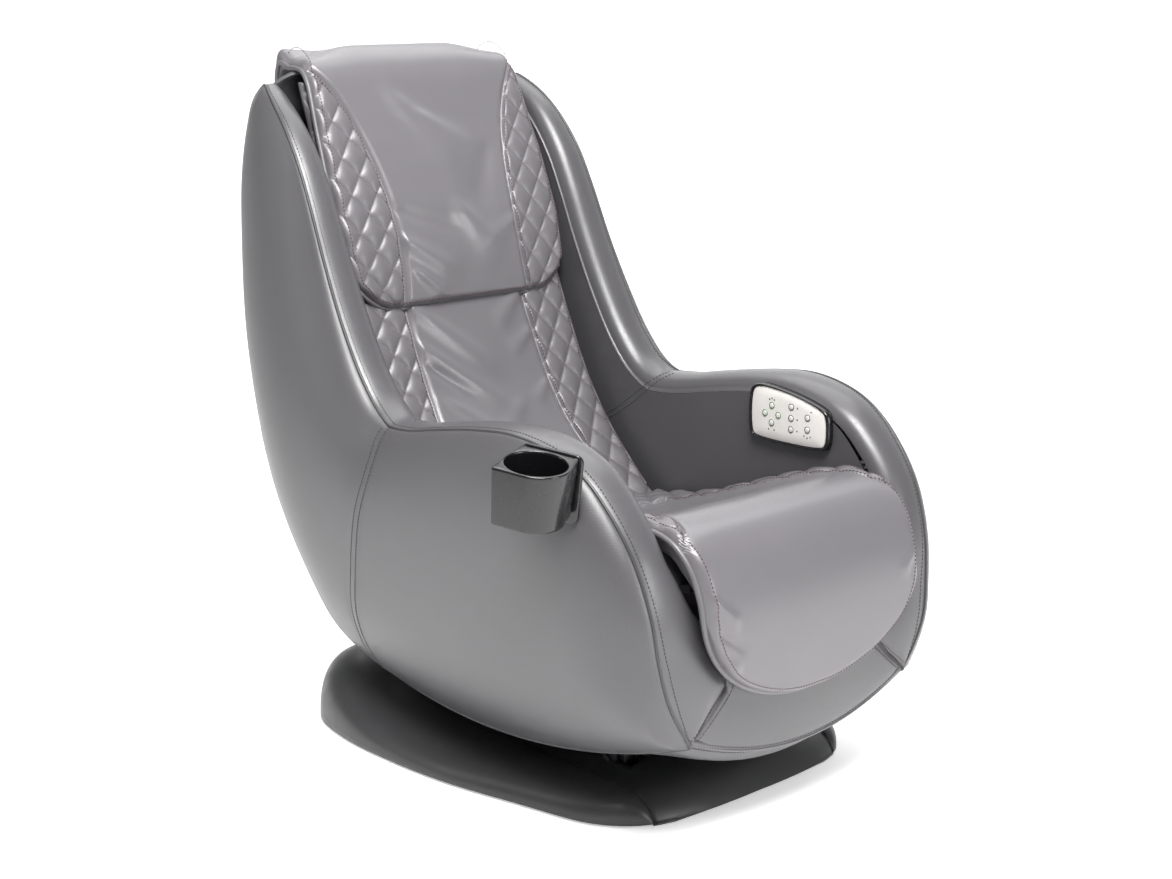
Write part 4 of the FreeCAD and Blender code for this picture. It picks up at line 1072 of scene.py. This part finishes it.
def belly_pan(x, y, x_edge):
    """Height of the upholstered underside: the round glide line, hanging lower at its front."""
    share = 1 - np.clip(np.abs(x) / x_edge, 0, 1) ** 2
    hang = smoothstep(-0.17, -0.47, y) * 0.056 + 0.010 * np.exp(-((y + 0.405) / 0.03) ** 2)
    hang = hang * (1 - (1 - smoothstep(0.024, 0.050, np.abs(x))) * smoothstep(-0.360, -0.315, y))
    return underside(y) - hang * share


def make_underside():
    ys = np.concatenate([np.linspace(-0.4455, -0.40, 26), np.linspace(-0.396, 0.212, 90)])
    across = np.linspace(-1, 1, 70)
    rows = []
    for y in ys:
        side = np.interp(y, [-0.445, -0.40, -0.30, 0.16, 0.212], [0.222, 0.232, 0.243, 0.248, 0.246])
        x = across * side
        blend = 1 - smoothstep(-0.4455, -0.412, y)
        z = belly_pan(x, y, side) * (1 - blend) + bottom_seam_z(x) * blend
        rows.append(np.stack([x, y + 0 * x, z], axis=1))
    outer = np.array(rows)
    obj = double_skin("underside_cover", outer, outer + [0, 0, 0.010], False, WEAVE)
    belongs(obj, "chair", "upholstery", "bottom_pan")


REAR_LINE = spline(mm([(217, 129), (257, 158), (305, 225), (373, 350), (424, 529), (444, 620), (455, 726),
                       (456, 833), (452, 908), (444, 958), (427, 983), (404, 990)]))
# the mains inlet: its height on the back, and the half width and half height of its flange and opening
INLET_Z, INLET_FLANGE, INLET_OPENING = 0.294, (0.0365, 0.0205), (0.0306, 0.0146)


def make_rear_cover():
    """The padded back, as wide as the side panels' rear edges and open round the mains inlet."""
    along = arc_lengths(REAR_LINE)
    edge = resample(spline(mm(REAR_EDGE)), even(300))
    width = np.interp(REAR_LINE[:, 1], edge[:, 2], edge[:, 0]) - 0.007
    inlet = np.interp(INLET_Z, REAR_LINE[:, 1], along)

    def window(x, s, half_x, half_s, soft):
        return ((1 - smoothstep(half_x, half_x + soft, np.abs(x)))
                * (1 - smoothstep(half_s, half_s + soft, np.abs(s - inlet))))

    flange = lambda x, s: window(x, s, *INLET_FLANGE, 0.010)
    opening = lambda x, s: window(x, s, *INLET_OPENING, 0.0014)
    puff = lambda x, s: (0.007 + 0.005 * (1 - (x / 0.26) ** 2)) * (1 - flange(x, s)) + 0.0031 * flange(x, s)
    pad = Pad(REAR_LINE, lambda s: np.interp(s, along, width), lambda x, s: 0.002 + 0.0255 * opening(x, s),
              lambda x, s: puff(x, s) - 0.0265 * opening(x, s), 0.012,
              end=lambda x: along[-1] - 0.060 * np.clip((np.abs(x) - 0.165) / 0.085, 0, 1) ** 1.6)
    around_x = 0.5 + np.array([-1, 1])[:, None] * np.linspace(0.029, 0.034, 7) / (2 * 0.262)
    around_s = (inlet + np.array([-1, 1])[:, None] * np.linspace(0.0135, 0.0180, 7)) / along[-1]
    obj = pad.mesh("rear_cover_panel", np.union1d(rimmed(90, 0.03, 6), around_x),
                   np.union1d(rimmed(200, 0.012, 5), around_s), WEAVE)
    belongs(obj, "chair", "upholstery", "rear_cover", fill=0.8)


# ------------------------------------------------------------------ base covers
SPLIT_X = 0.190
RIDGE = spline(mm([(-379, 4), (-366, 24), (-342, 38), (-290, 43), (-229, 44), (-102, 45), (-20, 48), (57, 55),
                   (120, 65), (177, 78), (225, 95), (262, 106), (300, 108), (330, 96), (356, 70), (378, 26),
                   (384, 4)]))
FOOTPRINT = spline(mm([(0, -368), (60, -368), (112, -365), (160, -357), (200, -343), (228, -320), (250, -288),
                       (281, -161), (306, -35), (314, 90), (310, 190), (288, 284), (262, 322), (236, 345),
                       (196, 364), (120, 377), (60, 383), (0, 384)]))
LINE_START, LINE_END = -0.379, 0.384
LEDGE, COVER_FOOT = 0.006, 0.0035


def place_along(line_y, x):
    """Where a point of a side-view line falls between the footprint's front and rear edges at that x."""
    split = len(FOOTPRINT) // 2
    front = np.interp(abs(x), FOOTPRINT[:split, 0], FOOTPRINT[:split, 1])
    rear = np.interp(abs(x), FOOTPRINT[split:, 0][::-1], FOOTPRINT[split:, 1][::-1])
    return front + (line_y - LINE_START) / (LINE_END - LINE_START) * (rear - front)


def make_side_cover(side, sign):
    """A rounded wedge from the floor to the ridge, with a narrow ledge along its inner edge."""
    inside = FOOTPRINT[FOOTPRINT[:, 0] >= SPLIT_X - 0.0002]
    foot = resample(inside, tight_both(110))
    ridge_y = np.interp(foot[:, 1], [foot[0, 1], foot[-1, 1]], [LINE_START, LINE_END])
    ridge_z = np.interp(ridge_y, RIDGE[:, 0], RIDGE[:, 1])
    rings = []
    for angle in np.linspace(0, np.pi / 2, 30):
        across = np.cos(angle) ** 0.86
        rise = np.sin(angle) ** 0.80
        width = foot[:, 0] - SPLIT_X - LEDGE * smoothstep(0.0, 0.02, foot[:, 0] - SPLIT_X)
        x = foot[:, 0] - width * (1 - across)
        z = COVER_FOOT + (np.maximum(ridge_z, 0.006) - COVER_FOOT) * rise
        rings.append(np.stack([x, foot[:, 1], z], axis=1))
    top = rings[-1].copy()
    for x, drop in ((SPLIT_X + 0.001, 0.0002), (SPLIT_X, 0.0016), (SPLIT_X, 0.012)):
        ring = top.copy()
        ring[:, 0] = np.minimum(ring[:, 0], x)
        ring[:, 2] = np.maximum(ring[:, 2] - drop, COVER_FOOT)
        rings.append(ring)
    floor = rings[-1].copy()
    floor[:, 2] = COVER_FOOT
    rings.append(floor)
    grid = np.array(rings)
    if sign < 0:
        grid = mirror_x(grid)
    faces = grid_faces(grid.shape[0], grid.shape[1], flip=sign > 0)
    last = (grid.shape[0] - 1) * grid.shape[1]
    faces += [(j, j + 1, last + j + 1, last + j) for j in range(grid.shape[1] - 1)]
    obj = new_object("base_side_cover_%s_skin" % side, grid.reshape(-1, 3), faces, BASE_PLASTIC)
    tidy_mesh(obj, 3e-5)
    belongs(obj, "base", "base_plastic", "base_side_cover_" + side)


CRADLE = spline(mm([(-379, 4), (-365, 24), (-346, 39), (-300, 51), (-250, 61), (-200, 69), (-150, 72),
                    (-108, 72), (-32, 73), (44, 78), (120, 89), (203, 107), (262, 115), (305, 112),
                    (335, 96), (358, 70), (378, 26), (384, 4)]))
SLOT_X, SLOT_Y = (0.113, 0.147), (-0.262, 0.305)


def make_centre_cover():
    """The cradle between the side covers, with a slot for each rocker rail."""
    right = np.unique(np.concatenate([np.linspace(0, SLOT_X[0], 10), np.linspace(SLOT_X[1], SPLIT_X, 6)]))
    xs = np.concatenate([-right[:0:-1], right])
    ys = np.concatenate([LINE_START + 0.04 * (1 - np.cos(np.linspace(0, np.pi / 2, 12, endpoint=False))),
                         np.linspace(-0.339, SLOT_Y[0], 8)[:-1], np.linspace(*SLOT_Y, 60)[:-1],
                         np.linspace(SLOT_Y[1], 0.345, 6)[:-1],
                         LINE_END - 0.039 * (1 - np.sin(np.linspace(0, np.pi / 2, 12)))])
    grid = np.zeros((len(xs), len(ys), 3))
    for i, x in enumerate(xs):
        y = place_along(ys, x)
        z = np.interp(ys, CRADLE[:, 0], CRADLE[:, 1])
        ridge = np.interp(ys, RIDGE[:, 0], RIDGE[:, 1]) - 0.003
        mix = smoothstep(0.55, 1.0, abs(x) / SPLIT_X)
        grid[i] = np.column_stack([np.full(len(ys), x), y, np.maximum(z * (1 - mix) + ridge * mix, 0.004)])
    faces = []
    columns = len(ys)
    for i in range(len(xs) - 1):
        for j in range(columns - 1):
            middle_x, middle_y = abs(xs[i] + xs[i + 1]) / 2, (grid[i, j, 1] + grid[i, j + 1, 1]) / 2
            if not (SLOT_X[0] < middle_x < SLOT_X[1] and SLOT_Y[0] < middle_y < SLOT_Y[1]):
                a = i * columns + j
                faces.append((a, a + columns, a + columns + 1, a + 1))
    obj = new_object("base_centre_cover_skin", grid.reshape(-1, 3), faces, BASE_PLASTIC)
    solid = obj.modifiers.new("wall", "SOLIDIFY")
    solid.thickness, solid.offset = 0.003, -1
    belongs(obj, "base", "base_plastic", "base_center_cover")


# ------------------------------------------------------------------ control panel
PANEL_Y, PANEL_Z = -0.218, 0.491
PANEL_OUTLINE = mm([(-79, -33), (-79, 8), (-70, 21), (-20, 35), (30, 42), (66, 43), (79, 30), (79, -33),
                    (66, -43), (-68, -43)])
KEY_PLACES = {"mode_up": (32.5, 12.3), "mode_back": (46, -1), "mode_forward": (19.5, -1),
              "mode_down": (32.5, -14.4), "program_first": (-6, 15.8), "program_second": (-6, -1.4),
              "program_third": (-6, -18.6), "timer": (-38, 4), "power": (-38, -14)}
LAMP_PLACES = [(37, 21.5), (32.5, 23.5), (28, 21.5), (38, -24.5), (27, -24.5), (-18, 15.4), (-18, -1.8),
               (-18, -19.2), (-45, 14), (-32, -24), (-38, -26), (-44, -24)]
PANEL_FACE_X = 0.2185
KEY_ROOT = 0.0015


def rounded_outline(points, rounds=4):
    """Corner cutting: a closed, smooth outline inside the points."""
    for _ in range(rounds):
        after = np.roll(points, -1, axis=0)
        points = np.stack([points * 0.75 + after * 0.25, points * 0.25 + after * 0.75], axis=1).reshape(-1, 2)
    return points


def panel_loop(x, inset):
    outline = rounded_outline(PANEL_OUTLINE * 1.012)
    shrink = 1 - inset / np.linalg.norm(outline, axis=1).mean()
    placed = outline * shrink
    return np.stack([np.full(len(placed), x), PANEL_Y + placed[:, 0], PANEL_Z + placed[:, 1]], axis=1)


def loops_mesh(name, loops, material, cap_last=False, cap_first=False):
    """Closed loops joined in order, with a flat or domed cap at either end."""
    grid = np.array(loops)
    rows, columns = grid.shape[:2]
    faces = grid_faces(rows, columns, wrap=True)
    if cap_last:
        faces.append(tuple(range((rows - 1) * columns, rows * columns)))
    if cap_first:
        faces.append(tuple(range(columns))[::-1])
    return tidy_mesh(new_object(name, grid.reshape(-1, 3), faces, material), 1e-6)


def facing_loop(centre, lift, radius):
    """A circle raised from its centre towards -X."""
    angle = np.linspace(0, 2 * np.pi, 32, endpoint=False)
    return np.stack([np.full(32, centre[0] - lift), centre[1] + radius * np.cos(angle),
                     centre[2] + radius * np.sin(angle)], axis=1)


def dome(name, centre, radius, height, material):
    """A low button: a short wall, a rounded shoulder and a slightly domed top, facing -X."""
    loops = [facing_loop(centre, -KEY_ROOT, radius)]
    for r, h in ((1.0, 0.0), (0.985, 0.25), (0.93, 0.55), (0.82, 0.80), (0.6, 0.94), (0.3, 0.99)):
        loops.append(facing_loop(centre, h * height, radius * r))
    return loops_mesh(name, loops, material, cap_last=True, cap_first=True)


def key_ring(name, centre, inner, outer, height, material):
    rings = ((outer, -KEY_ROOT), (outer, height * 0.5), (outer - 0.0002, height), (inner + 0.0002, height),
             (inner, height * 0.5), (inner, -KEY_ROOT), (outer, -KEY_ROOT))
    return loops_mesh(name, [facing_loop(centre, h, r) for r, h in rings], material)


def on_panel(place, x):
    return x, PANEL_Y + place[0] / 1000, PANEL_Z + place[1] / 1000


def make_controls():
    bezel_loops = [panel_loop(x, inset) for x, inset in
                   ((0.236, 0.0), (0.2215, 0.0), (0.2190, 0.0006), (0.2175, 0.0019), (0.2171, 0.0034),
                    (0.2176, 0.0046), (0.2188, 0.0051), (0.2225, 0.0053), (0.236, 0.0053))]
    bezel = loops_mesh("control_bezel_rim", bezel_loops + bezel_loops[:1], GLOSS_BLACK)
    belongs(bezel, "chair", "gloss_black", "control_bezel")
    face_loops = [panel_loop(x, inset) for x, inset in
                  ((0.2222, 0.0058), (0.2194, 0.0059), (0.2189, 0.0064), (PANEL_FACE_X, 0.0074),
                   (PANEL_FACE_X, 0.030), (PANEL_FACE_X, 0.055))]
    face = loops_mesh("control_faceplate_panel", face_loops, FACEPLATE, cap_last=True, cap_first=True)
    belongs(face, "chair", "faceplate", "control_faceplate")
    for name, place in KEY_PLACES.items():
        colour, slot = (KEY_GREEN, "key_green") if name.startswith("mode") else (KEY_GREY, "key_grey")
        ring = key_ring("key_ring_" + name, on_panel(place, PANEL_FACE_X), 0.0042, 0.0055, 0.0004, colour)
        belongs(ring, "chair", slot)
        key = dome("key_%s_cap" % name, on_panel(place, PANEL_FACE_X - 0.0002), 0.0040, 0.0011, KEY_WHITE)
        belongs(key, "key_" + name, slot, "key_" + name)
    for k, place in enumerate(LAMP_PLACES, 1):
        lamp = dome("indicator_lamp_%02d" % k, on_panel(place, PANEL_FACE_X + 0.0001), 0.0013, 0.0004, LAMP)
        belongs(lamp, "chair", "gloss_black")


# ------------------------------------------------------------------ cup holder
CUP_HEIGHT, CUP_ROUND = 0.078, 46


def cup_plan(scale, inset):
    """The holder's outline from above: round in front, a sharp corner behind and a heel at the bracket."""
    turn = np.radians(np.linspace(188, 292, 36))
    arc = [(CUP_ROUND * math.cos(a), CUP_ROUND * math.sin(a)) for a in turn]
    path = np.array(arc + [(47, -38), (47, 41), (-44, 42), arc[0]], float)
    path = resample(path, even(181))[:-1]
    for _ in range(3):
        path = path * 0.5 + (np.roll(path, -1, axis=0) + np.roll(path, 1, axis=0)) * 0.25
    tangent = unit(np.roll(path, -1, axis=0) - np.roll(path, 1, axis=0))
    inward = np.stack([-tangent[:, 1], tangent[:, 0]], axis=1)
    return (path * scale + inward * inset) / 1000


def make_cup_holder():
    """Outer wall, rounded rim and a round well, in the holder's own leaning frame."""
    outline = cup_plan(1.0, 0.0)
    angles, level = np.arctan2(outline[:, 1], outline[:, 0]), np.ones(len(outline))
    loops = []
    for z, inset in ((0.0, 3.0), (0.0, 1.2), (0.0008, 0.4), (0.003, 0.0), (0.040, 0.0), (0.0745, 0.0),
                     (0.0768, 0.35), (0.0777, 1.0), (0.0780, 1.8)):
        plan = cup_plan(0.925 + 0.075 * z / CUP_HEIGHT, inset)
        loops.append(np.column_stack([plan, z * level]))
    for z, radius in ((0.0780, 0.0420), (0.0777, 0.0410), (0.0768, 0.0404), (0.0745, 0.0401), (0.040, 0.0400),
                      (0.0100, 0.0398), (0.0082, 0.0390), (0.0080, 0.0375), (0.0080, 0.018), (0.0080, 0.004)):
        loops.append(np.column_stack([radius * np.cos(angles), radius * np.sin(angles), z * level]))
    holder = loops_mesh("cup_holder_body", loops, GLOSS_BLACK, cap_last=True, cap_first=True)
    holder.data.transform(CUP_FRAME)
    belongs(holder, "cup_holder", "gloss_black", "cup_holder")


def make_bracket():
    """The plate behind the holder: rounded corners and a rolled edge."""
    corners, radius = mm([(-43, -14), (-43, 80), (43, 80), (43, -14)]), 0.010
    rounded = []
    for k, corner in enumerate(corners):
        before, after = unit(corners[k - 1] - corner), unit(corners[(k + 1) % 4] - corner)
        for t in even(9):
            rounded.append(corner + (before + after - unit(after * (1 - t) + before * t)) * radius)
    rounded = np.array(rounded)
    centre = rounded.mean(axis=0)
    arm = rounded - centre
    loops = []
    for x, inset in ((0.0534, 0.003), (0.0534, 0.0008), (0.0528, 0.0002), (0.0515, 0.0), (0.0490, 0.0),
                     (0.0478, 0.0006), (0.0474, 0.0018), (0.0474, 0.004)):
        shrunk = centre + arm * (1 - inset / np.linalg.norm(arm, axis=1))[:, None]
        loops.append(np.column_stack([np.full(len(shrunk), x), shrunk]))
    bracket = loops_mesh("cup_holder_bracket_plate", loops, GLOSS_BLACK, cap_last=True, cap_first=True)
    bracket.data.transform(CUP_FRAME)
    belongs(bracket, "chair", "gloss_black", "cup_holder_bracket")


# ------------------------------------------------------------------ seams on the outer skin
def drop_on(obj, points, direction):
    """Casts each point along a direction on to an object; returns the points hit and the normals there."""
    places, normals = [], []
    inverse = obj.matrix_world.inverted()
    aim = Vector(direction).normalized()
    for p in points:
        hit, place, normal, _ = obj.ray_cast(inverse @ Vector(p) - aim * 0.3, aim)
        if hit:
            places.append(place)
            normals.append(normal)
    return np.array(places), np.array(normals)


def sew(group, covers, points, direction, share=0.0):
    """Drops a row of thread on to the first cover that lies under more than that share of it."""
    for cover in covers:
        places, normals = drop_on(bpy.data.objects[cover], points, direction)
        if len(places) > share * len(points):
            stitching.add(group, places, normals)
            return


def sew_outer_seams():
    wing_seam = resample(spline(mm([(60, 516), (106, 478), (150, 447), (185, 426)])), even(160))
    for side, sign in SIDES:
        for cover, seam, x, away in (("side_panel_%s_cover", resample(OUTER_SEAM, even(420)), 0.5, 0.0055),
                                     ("arm_liner_%s_cover", wing_seam, -0.07, 0.0045)):
            for shift in (-away, away):
                row = seam + left_of(seam) * shift
                start = np.column_stack([np.full(len(row), sign * x), row])
                sew("chair_dark", [cover % side], start, (-np.sign(sign * x), 0, 0))


BACKWARDS = (0, 1, 0)


def before_front(x, z):
    return np.column_stack([x, np.full(len(x), -0.6), z])


def sew_front():
    seam = resample(spline(LINER_FRONT[3::-1, ::-1]), even(200))
    for side, sign in SIDES:
        for shift in (-0.0065, 0.0065):
            row = seam + left_of(seam) * shift
            sew("chair_red", ["arm_liner_%s_cover" % side, "front_panel_cover"],
                before_front(sign * row[:, 0], row[:, 1]), BACKWARDS, share=0.5)
    x = np.linspace(-0.214, 0.214, 400)
    for cover, shift in (("front_panel_cover", 0.0055), ("underside_cover", -0.0055)):
        sew("chair_dark", [cover], before_front(x, bottom_seam_z(x) + shift), BACKWARDS)
    front = bpy.data.objects["front_panel_cover"]
    places, _ = drop_on(front, before_front(x, bottom_seam_z(x) + 0.0008), BACKWARDS)
    pipe = sweep("front_bottom_piping", places[::4], round_profile(0.0018), PIPING)
    belongs(pipe, "chair", "upholstery")


# ------------------------------------------------------------------ studio
def area_light(name, location, target, size, energy, color=(1, 1, 1), size_y=None):
    data = bpy.data.lights.new(name, "AREA")
    data.shape = "RECTANGLE"
    data.size, data.size_y = size, size_y or size
    data.energy, data.color = energy, color
    light = bpy.data.objects.new(name, data)
    bpy.context.scene.collection.objects.link(light)
    light.location = location
    light.rotation_euler = (Vector(target) - Vector(location)).to_track_quat("-Z", "Y").to_euler()


def studio():
    """A white sweep, a softbox above the front, a strip beside the back, a weak fill and a floor wash."""
    paper = Shader("studio_paper", (0.93, 0.93, 0.93), 0.6, Emission_Color=(1.0, 1.0, 1.0, 1),
                   Emission_Strength=0.44)
    paper.vary_roughness(paper.noise(3.0), 0.55, 0.65)
    bend = [(3.0 + 2.5 * math.sin(a), 2.5 - 2.5 * math.cos(a)) for a in np.linspace(0, np.pi / 2, 24)]
    profile = [(-9.0, 0.0), *bend, (5.5, 8.0)]
    depth = np.array(profile)
    aim = math.radians(CAMERA_AZIMUTH)
    forward, right = np.array([-math.sin(aim), math.cos(aim)]), np.array([math.cos(aim), math.sin(aim)])
    grid = np.array([np.column_stack([depth[:, :1] * forward + reach * right, depth[:, 1]])
                     for reach in (-9, 9)])
    faces = grid_faces(2, len(depth), flip=True)
    new_object("studio_sweep", grid.reshape(-1, 3), faces, paper.material)
    world = bpy.data.worlds.new("studio_world")
    bpy.context.scene.world = world
    world.use_nodes = True
    background = world.node_tree.nodes["Background"].inputs
    background["Color"].default_value = (0.98, 0.99, 1.0, 1)
    background["Strength"].default_value = 0.20
    bpy.context.scene.view_settings.view_transform = "Standard"
    area_light("key_softbox", (-0.8, -1.2, 2.8), (0, 0, 0.45), 1.3, 150, (1.0, 0.99, 0.98))
    area_light("back_strip", (-2.3, 1.5, 1.6), (-0.2, 0.2, 0.5), 0.45, 12, size_y=2.2)
    area_light("front_fill", (0.6, -3.0, 1.0), (0, 0, 0.35), 1.0, 26)
    area_light("floor_wash", (1.5, 1.2, 4.5), (0.6, 0.6, 0.0), 4.0, 130)


CAMERA_AZIMUTH, CAMERA_DOWN = -43.18, 13.156


def camera():
    data = bpy.data.cameras.new("camera")
    data.lens, data.sensor_width = 61.43, 36.0
    eye = bpy.data.objects.new("camera", data)
    bpy.context.scene.collection.objects.link(eye)
    eye.location = (-1.997, -2.138, 1.138)
    eye.rotation_euler = (math.radians(90 - CAMERA_DOWN), 0, math.radians(CAMERA_AZIMUTH))
    bpy.context.scene.camera = eye


# ------------------------------------------------------------------ build
finish_cad_nodes()
for side_name, side_sign in SIDES:
    side_panel(side_name, side_sign)
    edge_trim(liner(side_name, side_sign), side_name, side_sign)
    make_side_cover(side_name, side_sign)
make_centre_cover()
make_back_overlay()
make_seat()
make_head_pad()
make_front_panel()
make_underside()
make_rear_cover()
make_controls()
make_cup_holder()
make_bracket()
sew_outer_seams()
sew_front()
stitching.build("chair_red", "thread_pads", "chair", THREAD_RED)
stitching.build("chair_dark", "thread_shell", "chair", THREAD_DARK)
blend_at_hinge(stitching.build("head_red", "thread_head_pad", None, THREAD_RED))
studio()
camera()
